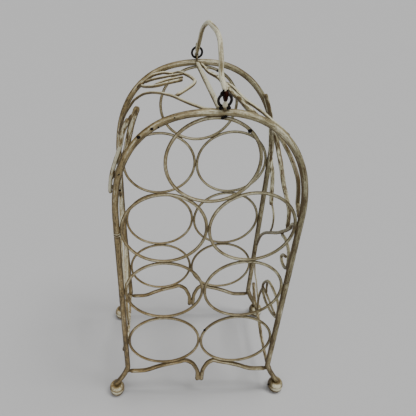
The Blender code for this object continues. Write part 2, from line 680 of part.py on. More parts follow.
def roof(side, turn, across, raised):
    """A place on the roof between the two arches."""
    front_offset, front_height = arch_place("front", side, turn)
    back_offset, back_height = arch_place("back", side, turn)
    share = (across + 1) / 2
    return (SIDES[side] * (front_offset + (back_offset - front_offset) * share),
            across * HALF_SPACING,
            front_height + (back_height - front_height) * share + raised * HALF_PITCH)


def wall(side, height, across, out):
    """A place on a side wall, which stands in the legs."""
    front = leg_offset("front", side, height)
    back = leg_offset("back", side, height)
    offset = front + (back - front) * (across + 1) / 2
    return SIDES[side] * (offset + out * HALF_PITCH), across * HALF_SPACING, up(height)


def right_wall(shares):
    return [wall("right", *row) for row in shares]


def left_wall(shares):
    """The left wall is the right one turned half round, so its front is the other's back."""
    return [wall("left", height, -across, out) for height, across, out in shares]


def make_ridge_bar():
    """Straight from crown to crown, under the handle."""
    ends = [(RIDGE_OFFSETS[panel], PANELS[panel] * HALF_SPACING,
             up(SPRING_SHARE) + ARCH_RISE[panel]) for panel in PANELS]
    lay("ridge_bar", ends, (RIDGE_DIAMETER, RIDGE_DIAMETER), painted_iron())


def make_wall(prefix, place):
    """The strands that both walls have: vine, tendril, curl, leaf and low twig."""
    paint, bark = painted_iron(), bark_iron()
    lay(prefix + "_tendril", place(TENDRIL_SHARES), TENDRIL_DIAMETERS, paint)
    lay(prefix + "_vine", place(VINE_SHARES), VINE_DIAMETERS, bark, cut_end=False)
    lay(prefix + "_curl", place(CURL_SHARES), CURL_DIAMETERS, paint, cut_end=False)
    lay(prefix + "_low_twig", place(LOW_TWIG_SHARES), LOW_TWIG_DIAMETERS, bark, cut_start=False)
    lay_loop(prefix + "_leaf_rim", place(LEAF_RIM_SHARES), LEAF_RIM_DIAMETERS, paint)
    lay(prefix + "_leaf_midrib", place(LEAF_MIDRIB_SHARES), LEAF_VEIN_DIAMETERS, paint)
    lay(prefix + "_leaf_vein", place(LEAF_VEIN_SHARES), LEAF_VEIN_DIAMETERS, paint)
    lay(prefix + "_leaf_stem", place(STEM_SHARES), STEM_DIAMETERS, paint)


def make_right_wall():
    """The right wall has a twig in front of the back leg, too, and a vine on the shoulder."""
    lay("right_twig", right_wall(TWIG_SHARES), TWIG_DIAMETERS, bark_iron(), False, False)
    make_wall("right", right_wall)
    lay("right_shoulder_vine", right_wall(SHOULDER_VINE_SHARES), SHOULDER_VINE_DIAMETERS,
        painted_iron())
    lay("right_twig_wire", right_wall(TWIG_WIRE_SHARES), THIN_WIRE_DIAMETERS, painted_iron())
    lay("right_thin_strand", right_wall(THIN_STRAND_SHARES), THIN_STRAND_DIAMETERS,
        painted_iron())


def make_roof():
    """Twigs on the right of the roof, a long wire and a leaf on its left."""
    def right_roof(shares):
        return [roof("right", *row) for row in shares]

    def left_roof(shares):
        return [roof("left", *row) for row in shares]

    paint, bark = painted_iron(), bark_iron()
    lay("roof_bark_twig", right_roof(ROOF_BARK_SHARES), ROOF_BARK_DIAMETERS, bark)
    lay("roof_twig", right_roof(ROOF_TWIG_SHARES), ROOF_TWIG_DIAMETERS, paint, cut_end=False)
    lay("roof_wire", left_roof(ROOF_WIRE_SHARES), ROOF_WIRE_DIAMETERS, paint)
    lay("roof_leaf_rim", left_roof(ROOF_LEAF_RIM_SHARES), LEAF_RIM_DIAMETERS, paint,
        cut_start=False)
    lay("roof_leaf_midrib", left_roof(ROOF_LEAF_MIDRIB_SHARES), LEAF_VEIN_DIAMETERS, paint)
    lay("roof_leaf_lower", left_roof(ROOF_LEAF_LOWER_SHARES), LEAF_RIM_DIAMETERS, paint,
        cut_end=False)
    lay("roof_leaf_vein", left_roof(ROOF_LEAF_VEIN_SHARES), LEAF_VEIN_DIAMETERS, paint,
        cut_end=False)


def make_head_twig():
    """A forked twig tucked in behind the left shoulder of the front arch."""
    def shoulder(shares, diameter):
        depth = -HALF_SPACING + BAR_RADIUS + diameter / 2
        return [(-out * LEG_OFFSET, depth, up(SPRING_SHARE) + high * ARCH_RISE["front"])
                for out, high in shares]

    lay("head_twig", shoulder(HEAD_TWIG_SHARES, HEAD_TWIG_DIAMETERS[0]), HEAD_TWIG_DIAMETERS,
        bark_iron(), False, False)
    lay("head_prong", shoulder(HEAD_PRONG_SHARES, HEAD_PRONG_DIAMETERS[0]),
        HEAD_PRONG_DIAMETERS, bark_iron(), cut_end=False)


# The handle and its links


def crown_top(panel):
    return up(SPRING_SHARE) + ARCH_RISE[panel] + BAR_RADIUS


def link_seat(panel):
    """Where a link's wire passes through its staple: the link leans about this place."""
    offset = FRONT_HANDLE_OFFSET if panel == "front" else BACK_HANDLE_OFFSET
    return np.array([offset, PANELS[panel] * HALF_SPACING,
                     crown_top(panel) + LINK_WIRE_RADIUS + LINK_PLAY])


def link_centre(panel):
    """The middle of an upright link, on the axis about which the handle folds."""
    return link_seat(panel) + (0.0, 0.0, LINK_RADIUS)


def fold_axis():
    return unit(link_centre("back") - link_centre("front"))


def upright_frame():
    """Directions sideways, along the fold axis and up, all square to each other."""
    along = fold_axis()
    sideways = unit(np.cross(along, (0.0, 0.0, 1.0)))
    return sideways, along, np.cross(sideways, along)


def make_staple(panel):
    """A small hoop that stands on the crown of an arch, with its feet on both sides of it."""
    seat = link_seat(panel)
    depth, middle = seat[1], crown_top(panel) - BAR_RADIUS
    inner = STAPLE_RADIUS - STAPLE_WIRE_RADIUS
    foot = middle + math.sqrt((BAR_RADIUS + FIT_GAP) ** 2 - inner ** 2)
    turns = np.linspace(0.0, math.pi, 9)
    hoop = [(seat[0], depth + STAPLE_RADIUS * math.cos(turn),
             seat[2] + STAPLE_RADIUS * math.sin(turn)) for turn in turns]
    points = np.array([(seat[0], depth + STAPLE_RADIUS, foot)] + hoop
                      + [(seat[0], depth - STAPLE_RADIUS, foot)])
    radii = np.full(len(points), STAPLE_WIRE_RADIUS)
    bar_solid("staple_" + panel, points, radii, WIRE_SIDES, painted_iron())


def make_link(panel):
    """A black wire ring that hangs the handle on a staple."""
    sideways, _, upward = upright_frame()
    turns = 2 * math.pi * np.arange(LINK_STEPS) / LINK_STEPS
    points = link_centre(panel) + LINK_RADIUS * (np.cos(turns)[:, None] * sideways
                                                 + np.sin(turns)[:, None] * upward)
    radii = np.full(LINK_STEPS, LINK_WIRE_RADIUS)
    bar_solid("link_" + panel, points, radii, WIRE_SIDES, black_wire(), closed=True,
              origin=link_seat(panel))


def handle_eye(panel):
    """Centre of the eye that rests on the top of a link, around its wire."""
    inner = HANDLE_EYE_RADIUS - HANDLE_END_WIRE / 2
    rest = inner - LINK_WIRE_RADIUS - FIT_GAP
    return link_centre(panel) + (0.0, 0.0, LINK_RADIUS - rest)


def curl_places(panel, degrees):
    """The turns of an eye from where the bar meets it to its end."""
    centre = handle_eye(panel)
    turns = np.radians(np.linspace(*degrees, CURL_STEPS + 1))
    return [centre + HANDLE_EYE_RADIUS * np.array([0.0, math.cos(turn), math.sin(turn)])
            for turn in turns]


def make_handle():
    """A bail bent from one bar, its ends drawn out thin and curled into eyes."""
    front, back = handle_eye("front"), handle_eye("back")
    bow = []
    for across, high, kink in HANDLE_SHARES:
        share = (across + 1) / 2
        base = front + (back - front) * share
        bow.append((base[0] - kink * HANDLE_KINK, across * HALF_SPACING,
                    front[2] + high * HANDLE_RISE))
    front_curl = curl_places("front", FRONT_CURL_DEGREES)[::-1]
    route = smooth_route(front_curl + bow + curl_places("back", BACK_CURL_DEGREES))
    points = thin_out(route, math.radians(20.0), LONGEST_STEP)
    steps = np.linalg.norm(np.diff(points, axis=0), axis=1)
    travelled = np.concatenate([[0.0], np.cumsum(steps)]) / steps.sum()
    curl = 1.5 * math.pi * HANDLE_EYE_RADIUS / steps.sum()
    to_end = np.minimum(travelled, 1 - travelled)
    swell = np.clip((to_end - curl) / CURL_TAPER_SHARE, 0.0, 1.0)
    radii = (HANDLE_END_WIRE + (HANDLE_DIAMETER - HANDLE_END_WIRE) * swell) / 2
    bar_solid("handle", points, radii, BAR_SIDES, painted_iron(), origin=link_centre("front"))


def main():
    clear_scene()
    laid_bars.clear()
    for panel in PANELS:
        make_frame(panel)
    for panel in PANELS:
        make_rings(panel)
        for side in SIDES:
            make_rail(panel, side)
            make_foot(panel, side)
        make_staple(panel)
        make_link(panel)
    make_ridge_bar()
    make_handle()
    make_right_wall()
    make_wall("left", left_wall)
    make_roof()
    make_head_twig()


main()
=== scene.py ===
# %% [markdown]
# # A wrought iron wine rack, dressed for its portrait
#
# The CAD model gives every bar its place. This lesson puts hand-forged, painted iron over it:
# it reads the middle line of each bar from the solids, lays a rounder and livelier bar on that
# line, and adds the welds, the bark, the ball feet and the worn cream paint, which has painted
# light and shade in it.

# %% Load the imported rack
import json
import math

import bmesh
import bpy
import numpy as np
from mathutils import Matrix, Vector

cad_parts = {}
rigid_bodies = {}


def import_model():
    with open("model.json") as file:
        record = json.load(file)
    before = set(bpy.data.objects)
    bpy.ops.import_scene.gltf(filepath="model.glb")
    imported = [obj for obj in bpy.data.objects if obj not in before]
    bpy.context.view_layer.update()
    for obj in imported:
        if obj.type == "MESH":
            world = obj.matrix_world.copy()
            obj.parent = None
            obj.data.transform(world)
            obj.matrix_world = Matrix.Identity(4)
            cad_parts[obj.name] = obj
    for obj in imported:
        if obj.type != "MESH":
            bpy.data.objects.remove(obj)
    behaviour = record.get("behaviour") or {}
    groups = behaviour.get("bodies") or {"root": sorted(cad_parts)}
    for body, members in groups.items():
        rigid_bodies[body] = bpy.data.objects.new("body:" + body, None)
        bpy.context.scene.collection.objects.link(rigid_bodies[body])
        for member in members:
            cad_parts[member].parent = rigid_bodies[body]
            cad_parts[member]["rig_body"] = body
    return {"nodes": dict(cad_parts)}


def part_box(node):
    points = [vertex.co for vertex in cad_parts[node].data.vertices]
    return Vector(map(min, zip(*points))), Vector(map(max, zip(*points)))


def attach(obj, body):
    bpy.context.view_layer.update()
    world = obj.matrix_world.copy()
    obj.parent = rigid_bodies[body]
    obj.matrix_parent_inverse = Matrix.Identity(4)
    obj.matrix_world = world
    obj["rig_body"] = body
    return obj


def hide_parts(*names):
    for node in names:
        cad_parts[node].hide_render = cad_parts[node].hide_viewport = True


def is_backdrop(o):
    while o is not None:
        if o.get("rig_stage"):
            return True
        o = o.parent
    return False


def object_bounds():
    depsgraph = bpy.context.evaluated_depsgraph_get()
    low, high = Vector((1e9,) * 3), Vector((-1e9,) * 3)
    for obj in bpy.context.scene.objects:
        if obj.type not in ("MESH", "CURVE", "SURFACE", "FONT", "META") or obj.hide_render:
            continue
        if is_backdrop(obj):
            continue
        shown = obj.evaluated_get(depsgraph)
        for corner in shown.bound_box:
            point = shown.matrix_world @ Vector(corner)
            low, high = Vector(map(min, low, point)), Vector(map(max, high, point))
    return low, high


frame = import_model()
cad_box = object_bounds()
print("The rack has", len(frame["nodes"]), "solids and stands", round(cad_box[1].z, 4), "m high")

# %% [markdown]
# ## The camera
#
# The picture was taken from a little above and to the left, looking 35 degrees down. The camera
# was worked out from the fourteen rings, which are circles of one size on two parallel planes.
# A camera's own axes are the columns of its matrix: right, up and backwards.

# %% Place the camera
YAW, PITCH, ROLL = (math.radians(angle) for angle in (0.23, 35.09, 0.97))
CAMERA_PLACE = (-0.0626, -0.45325, 0.62765)
IMAGE_WIDTH = 416
SENSOR_WIDTH = 36.0
FOCAL_PIXELS = 426.7
MIDDLE_PIXEL = (153.9, 201.9)

forward = Vector((math.sin(YAW) * math.cos(PITCH), math.cos(YAW) * math.cos(PITCH),
                  -math.sin(PITCH)))
level = Vector((math.cos(YAW), -math.sin(YAW), 0.0))
down = forward.cross(level)
right = math.cos(ROLL) * level + math.sin(ROLL) * down
up = math.sin(ROLL) * level - math.cos(ROLL) * down

camera = bpy.data.objects.new("camera", bpy.data.cameras.new("camera"))
camera.matrix_world = Matrix.Translation(CAMERA_PLACE) @ Matrix(
    (right, up, -forward)).transposed().to_4x4()
camera.data.sensor_width = SENSOR_WIDTH
camera.data.lens = FOCAL_PIXELS * camera.data.sensor_width / IMAGE_WIDTH
camera.data.shift_x = (IMAGE_WIDTH / 2 - MIDDLE_PIXEL[0]) / IMAGE_WIDTH
camera.data.shift_y = (MIDDLE_PIXEL[1] - IMAGE_WIDTH / 2) / IMAGE_WIDTH
bpy.context.scene.collection.objects.link(camera)
bpy.context.scene.camera = camera
print("The lens is", round(camera.data.lens, 2), "mm long")

# %% [markdown]
# ## Sums that build node trees
#
# Both Geometry Nodes and materials are trees of small nodes. This class wraps one socket, so
# that an expression such as 1 - mask * 2 adds its own Math nodes. Its add method makes any
# other node: the settings come first, then the values or wires of the sockets.

# %% A wire between nodes
class Wire:
    """A socket of a node tree, with arithmetic."""

    def __init__(self, tree, socket=None):
        self.tree = tree
        self.socket = socket

    def add(self, kind, sockets=None, out=0, **settings):
        """A new node's output. Sockets are named or numbered; settings are its properties."""
        node = self.tree.nodes.new(kind)
        for name, value in settings.items():
            setattr(node, name, value)
        for name, value in (sockets or {}).items():
            if isinstance(value, Wire):
                self.tree.links.new(value.socket, node.inputs[name])
            else:
                node.inputs[name].default_value = value
        return Wire(self.tree, node.outputs[out])

    def math(self, operation, *values):
        return self.add("ShaderNodeMath", dict(enumerate(values)), operation=operation)

    def __add__(self, other):
        return self.math("ADD", self, other)

    def __radd__(self, other):
        return self.math("ADD", other, self)

    def __sub__(self, other):
        return self.math("SUBTRACT", self, other)

    def __rsub__(self, other):
        return self.math("SUBTRACT", other, self)

    def __mul__(self, other):
        return self.math("MULTIPLY", self, other)

    def __truediv__(self, other):
        return self.math("DIVIDE", self, other)

    def between(self, low, high, start=0.0, end=1.0):
        """The value from low to high mapped smoothly to start to end, and held outside."""
        sockets = {"Value": self, "From Min": low, "From Max": high, "To Min": start,
                   "To Max": end}
        return self.add("ShaderNodeMapRange", sockets, interpolation_type="SMOOTHSTEP")

    def times(self, vector):
        """A vector wire stretched along its three axes."""
        return self.add("ShaderNodeVectorMath", {0: self, 1: vector}, operation="MULTIPLY")


print("Sums on wires are ready")

# %% [markdown]
# ## Reading the middle line of a bar
#
# Each solid is a bar of flat-sided sections, and its triangles are loose. Once equal corners
# are taken together, the sections come out one after another: each is joined only to the next.
# An open bar is read from the sharp rim of its end, and a closed hoop from any one section.
# The lines could be typed in again, but read from the solids they stay true to them.

# %% Find the sections of a solid bar
RIM_ANGLE = 70
END_RIM = math.cos(math.radians(RIM_ANGLE))
SECTION_REACH = 1.15
MERGE_DIGITS = 6


def merged_triangles(node):
    """The node's corners with equal ones taken together, and its triangles."""
    mesh = frame["nodes"][node].data
    places = np.array([vertex.co for vertex in mesh.vertices])
    corners = np.array([face.vertices for face in mesh.polygons])
    _, first, same = np.unique(places.round(MERGE_DIGITS), axis=0, return_index=True,
                               return_inverse=True)
    return places[first], same.ravel()[corners]


def triangle_normals(places, corners):
    """The triangles' normals, as long as twice their areas."""
    return np.cross(places[corners[:, 1]] - places[corners[:, 0]],
                    places[corners[:, 2]] - places[corners[:, 0]])


def flood(start, allowed, links):
    """The allowed corners that are linked to the start."""
    reached = {start}
    edge = [start]
    while edge:
        fresh = (links[edge.pop()] & allowed) - reached
        reached |= fresh
        edge.extend(fresh)
    return reached


def first_section(places, corners, sides, radius):
    """One section of a closed hoop: the corners at the wire's radius from its middle."""
    normals = triangle_normals(places, corners)
    outward = np.zeros_like(places)
    for corner in range(3):
        np.add.at(outward, corners[:, corner], normals)
    outward /= np.linalg.norm(outward, axis=1)[:, None]
    for vertex in range(len(places)):
        middle = places[vertex] - outward[vertex] * radius
        near = np.linalg.norm(places - middle, axis=1) < SECTION_REACH * radius
        if near.sum() == sides:
            return set(np.flatnonzero(near).tolist())
    raise ValueError("no section was found")


def end_section(places, corners):
    """The rim of one end, which is the sharpest edge of an open bar."""
    normals = triangle_normals(places, corners)
    normals /= np.linalg.norm(normals, axis=1)[:, None]
    sides_of = {}
    for face, triangle in enumerate(corners.tolist()):
        for here, there in zip(triangle, triangle[1:] + triangle[:1]):
            sides_of.setdefault(frozenset((here, there)), []).append(face)
    rim = {}
    for edge, (one, other) in sides_of.items():
        if normals[one] @ normals[other] < END_RIM:
            here, there = edge
            rim.setdefault(here, set()).add(there)
            rim.setdefault(there, set()).add(here)
    return flood(min(rim), set(rim), rim)


print("A bar ends in a rim of more than", RIM_ANGLE, "degrees")


# %% Read the middle line of a bar
def middle_line(node, sides=8, hoop_radius=None):
    """Middle and radius of every section of a bar, from one end to the other or round a hoop."""
    places, corners = merged_triangles(node)
    links = {vertex: set() for vertex in range(len(places))}
    for triangle in corners.tolist():
        for vertex in triangle:
            links[vertex] |= set(triangle) - {vertex}
    if hoop_radius:
        section = first_section(places, corners, sides, hoop_radius)
    else:
        section = end_section(places, corners)
    seen = set()
    middles, radii = [], []
    while section:
        seen |= section
        ring = places[sorted(section)]
        middles.append(ring.mean(axis=0))
        radii.append(np.linalg.norm(ring - middles[-1], axis=1).mean())
        ahead = set().union(*(links[vertex] for vertex in section)) - seen
        section = flood(min(ahead), ahead, links) if ahead else None
    return np.array(middles), np.array(radii)


middles, radii = middle_line("right_twig")
print("The twig has", len(middles), "sections of", round(2000 * radii.mean(), 2), "mm")

# %% [markdown]
# ## Forging a bar with Geometry Nodes
#
# A smith draws a bar out under the hammer, so it is never quite round or straight. The tree
# here turns a middle line into a Catmull-Rom curve, sweeps a circle along it, rubs its ends
# down and moves the surface a little in and out. Bark is cut in as long grooves: their pattern
# is read from a grain direction, which is stored for the paint to use, too. Sculpting would
# give the same marks, but it would have to be done again for each bar, and one tree serves all.

# %% The inputs of the forging tree
forging = bpy.data.node_groups.new("forged_bar", "GeometryNodeTree")
for name, kind in (("Line", "NodeSocketGeometry"), ("Step", "NodeSocketFloat"),
                   ("Sides", "NodeSocketInt"), ("Hammer marks", "NodeSocketFloat"),
                   ("Bark", "NodeSocketFloat"), ("End wear", "NodeSocketFloat"),
                   ("Age", "NodeSocketFloat"), ("End stain", "NodeSocketFloat"),
                   ("Open side", "NodeSocketVector"),
                   ("Seed", "NodeSocketFloat"), ("Finish", "NodeSocketMaterial")):
    forging.interface.new_socket(name, in_out="INPUT", socket_type=kind)
forging.interface.new_socket("Bar", in_out="OUTPUT", socket_type="NodeSocketGeometry")
given = forging.nodes.new("NodeGroupInput")
size = {socket.name: Wire(forging, socket) for socket in given.outputs if socket.name}
start = Wire(forging)
print("The forging tree has", len(size), "inputs")

# %% Sweep a bar along the line
CURVE_STEPS = 16
STAIN_REACH = (0.001, 0.006)
WEAR_REACH = 0.7
WAVER_SCALE = 70.0

curve = start.add("GeometryNodeMeshToCurve", {"Mesh": size["Line"]})
curve = start.add("GeometryNodeCurveSplineType", {"Curve": curve}, spline_type="CATMULL_ROM")
curve = start.add("GeometryNodeSetSplineResolution",
                  {"Geometry": curve, "Resolution": CURVE_STEPS})
curve = start.add("GeometryNodeResampleCurve", {"Curve": curve, "Length": size["Step"]},
                  mode="LENGTH")
along = start.add("GeometryNodeSplineParameter", out="Length")
whole = start.add("GeometryNodeSplineLength")
curve = start.add("GeometryNodeStoreNamedAttribute",
                  {"Geometry": curve, "Name": "along", "Value": along})
bar_radius = start.add("GeometryNodeInputNamedAttribute", {"Name": "bar_radius"})
to_end = along.math("MINIMUM", along, whole - along)
age = size["Age"] + size["End stain"] * to_end.between(*STAIN_REACH, 1.0, 0.0)
curve = start.add("GeometryNodeStoreNamedAttribute",
                  {"Geometry": curve, "Name": "age", "Value": age})
worn = 1 - size["End wear"] * to_end.between(0.0, bar_radius * WEAR_REACH, 1.0, 0.0)
waver = start.add("ShaderNodeTexNoise", {"Vector": start.add("GeometryNodeInputPosition"),
                                         "Scale": WAVER_SCALE, "Detail": 1.0, "W": size["Seed"]},
                  noise_dimensions="4D")
thickness = bar_radius * worn * (1 + (waver - 0.5) * size["Hammer marks"] / bar_radius)

around = start.add("GeometryNodeSplineParameter", out="Factor")
profile = start.add("GeometryNodeCurvePrimitiveCircle",
                    {"Resolution": size["Sides"], "Radius": 1.0})
profile = start.add("GeometryNodeStoreNamedAttribute",
                    {"Geometry": profile, "Name": "around", "Value": around})
bar = start.add("GeometryNodeCurveToMesh", {"Curve": curve, "Profile Curve": profile,
                                            "Scale": thickness, "Fill Caps": True})
print("A line becomes a bar in", len(forging.nodes), "nodes")

# %% Cut the hammer marks and the bark
GRAIN_RATE = 64
MARK_SCALE, GROOVE_SCALE = 180.0, 1.5
INWARDS = 0.6  # most of a noise lies below this, so that the surface moves inwards

turn = start.add("GeometryNodeInputNamedAttribute", {"Name": "around"}) * (2 * math.pi)
length = start.add("GeometryNodeInputNamedAttribute", {"Name": "along"})
grain = start.add("ShaderNodeCombineXYZ", {"X": turn.math("COSINE", turn),
                                           "Y": turn.math("SINE", turn), "Z": length * GRAIN_RATE})
bar = start.add("GeometryNodeStoreNamedAttribute",
                {"Geometry": bar, "Name": "grain", "Value": grain}, data_type="FLOAT_VECTOR")
grain = start.add("GeometryNodeInputNamedAttribute", {"Name": "grain"},
                  data_type="FLOAT_VECTOR")
marks = start.add("ShaderNodeTexNoise", {"Vector": start.add("GeometryNodeInputPosition"),
                                         "Scale": MARK_SCALE, "Detail": 2.0,
                                         "W": size["Seed"]},
                  noise_dimensions="4D")
grooves = start.add("ShaderNodeTexNoise", {"Vector": grain, "Scale": GROOVE_SCALE,
                                           "Detail": 4.0, "W": size["Seed"]},
                    noise_dimensions="4D")
depth = (marks - INWARDS) * size["Hammer marks"] + (grooves - INWARDS) * size["Bark"]
outwards = start.add("GeometryNodeInputNormal")
shift = start.add("ShaderNodeVectorMath", {0: outwards, "Scale": depth}, operation="SCALE")
bar = start.add("GeometryNodeSetPosition", {"Geometry": bar, "Offset": shift})
bar = start.add("GeometryNodeStoreNamedAttribute",
                {"Geometry": bar, "Name": "open_side", "Value": size["Open side"]},
                data_type="FLOAT_VECTOR")
bar = start.add("GeometryNodeRealizeInstances", {"Geometry": bar})
bar = start.add("GeometryNodeSetMaterial", {"Geometry": bar, "Material": size["Finish"]})
forging.links.new(bar.socket, forging.nodes.new("NodeGroupOutput").inputs[0])
print("The forging tree has", len(forging.nodes), "nodes")

# %% [markdown]
# ## From a tree to a plain mesh
#
# A modifier's inputs are set by their identifiers before the object is first looked at. The
# finished mesh is then taken out of the modifier, so that the piece is plain geometry that
# stays where it is.

# %% Run a tree on a line or on loose points
def grow(name, tree, mesh, inputs, sharp=50.0):
    """A plain object called name, grown from a mesh by a Geometry Nodes tree."""
    seedling = bpy.data.objects.new(name + "_seed", mesh)
    bpy.context.scene.collection.objects.link(seedling)
    modifier = seedling.modifiers.new("grow", "NODES")
    modifier.node_group = tree
    for socket in tree.interface.items_tree:
        if socket.name in inputs:
            modifier[socket.identifier] = inputs[socket.name]
    grown = bpy.data.meshes.new_from_object(
        seedling.evaluated_get(bpy.context.evaluated_depsgraph_get()))
    grown.name = name
    bpy.data.objects.remove(seedling)
    grown.shade_smooth()
    grown.set_sharp_from_angle(angle=math.radians(sharp))
    piece = bpy.data.objects.new(name, grown)
    bpy.context.scene.collection.objects.link(piece)
    return piece


def line_mesh(middles, radii, closed):
    """A mesh of edges only, with the bar's radius at each point."""
    count = len(middles)
    edges = [(place, (place + 1) % count) for place in range(count if closed else count - 1)]
    mesh = bpy.data.meshes.new("line")
    mesh.from_pydata([tuple(middle) for middle in middles], edges, [])
    stored = mesh.attributes.new("bar_radius", "FLOAT", "POINT")
    stored.data.foreach_set("value", np.asarray(radii, dtype=np.float32))
    return mesh


print("A tree can be grown now")

# %% Forge a bar in a solid's place
bars = {}


def open_side(node):
    """The way in which a bar's sides are painted lighter, with painted shade on the sides across
    it: out of its wall, its roof or its panel.
    """
    if node.startswith(("right_", "left_", "handle")):
        return (1.0, 0.0, 0.0)
    if node.startswith(("roof_", "ridge_")):
        return (0.0, 0.0, 1.0)
    return (0.0, 1.0, 0.0)


def forge(node, finish, closed=False, step=0.0012, sides=16, marks=0.0002, bark=0.0,
          wear=0.25, age=0.2, section_sides=8, hoop_radius=None, seed=0.0, line=None):
    """A forged bar in the place of a CAD bar, riding where that one rides."""
    middles, radii = line or middle_line(node, section_sides, hoop_radius if closed else None)
    bars[node] = (middles, radii)
    piece = grow("forged_" + node, forging, line_mesh(middles, radii, closed),
                 {"Step": step, "Sides": sides, "Hammer marks": marks, "Bark": bark,
                  "End wear": 0.0 if closed else wear, "Age": age,
                  "End stain": 0.0 if closed else 0.5, "Open side": open_side(node),
                  "Seed": seed, "Finish": finish})
    return settle(piece, node)


def settle(piece, node):
    """The piece stands for a CAD node, which it hides, and rides on its body."""
    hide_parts(node)
    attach(piece, frame["nodes"][node]["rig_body"])
    return piece


print("Bars can be forged now")

# %% [markdown]
# ## Worn cream paint, with painted light and shade
#
# The iron was painted cream, glazed with brown and rubbed back: deep brown, ochre to the left
# and low down, khaki elsewhere. The iron shows black where chips of paint have gone. Light and
# shade are painted in as well: the tops and the sides that face out are painted lighter, and
# the undersides and the sides across them are painted darker, as painted shade. Wide patches,
# streaks along the grain, flecks, fine specks, the painted light and shade from the direction
# in which the surface faces, the height and each bar's age are added up into one value. Wear
# could be painted by hand onto each unwrapped bar. Noise on a piece's own coordinates needs no
# unwrapping, and it looks different on every bar.

# %% Small helpers for materials
def new_finish(name, roughness, metallic):
    """A new material, its shader and the start for its wires."""
    made = bpy.data.materials.new(name)
    made.use_nodes = True
    shader = made.node_tree.nodes["Principled BSDF"]
    shader.inputs["Roughness"].default_value = roughness
    shader.inputs["Metallic"].default_value = metallic
    return made, shader, Wire(made.node_tree)


def noise(wire, vector, scale, detail=3.0, roughness=0.55):
    """A cloudy pattern with values round a half."""
    return wire.add("ShaderNodeTexNoise", {"Vector": vector, "Scale": scale, "Detail": detail,
                                           "Roughness": roughness})


def blend(wire, share, one, other):
    """The first colour where the share is 0, and the other where it is 1."""
    return wire.add("ShaderNodeMix", {"Factor": share, 6: one, 7: other}, out=2,
                    data_type="RGBA", clamp_factor=True)


def colour(value):
    return (*value, 1.0)


print("Patterns and blends are ready")

# %% The worn paint
CREAM = (0.66, 0.63, 0.455)
KHAKI = (0.262, 0.236, 0.132)
OCHRE = (0.295, 0.208, 0.082)
BROWN = (0.088, 0.055, 0.014)
SOOT = (0.008, 0.007, 0.006)
RUST = (0.026, 0.008, 0.005)
FACING_LIGHT_SHARE, TOP_LIGHT_SHARE = 0.58, 0.45
PATCH_SHARE, STREAK_SHARE, SPECK_SHARE, FLECK_SHARE = 1.3, 2.2, 0.6, 0.5
# The bars grow a little lighter towards the top.
TOP_LIGHTENING = 0.10
PATCH_SCALE, SPECK_SCALE, CHIP_SCALE = 32.0, 480.0, 170.0
STREAK_SCALE, FLECK_SCALE = 2.6, 2.2
RUSTY_BELOW, RUST_EDGE, RUST_SPREAD = 0.4858, 0.0012, 0.004
PAINT_RELIEF, METAL_RELIEF = 0.0005, 0.0003
STAIN_DEPTH = 0.7
STAINS = (((0.0068, -0.0770, 0.4665), 0.0026), ((0.0046, -0.0770, 0.0520), 0.0050),
          ((-0.1040, -0.0770, 0.3175), 0.0055), ((-0.1069, -0.0770, 0.2175), 0.0040),
          ((-0.1062, -0.0770, 0.1243), 0.0040))


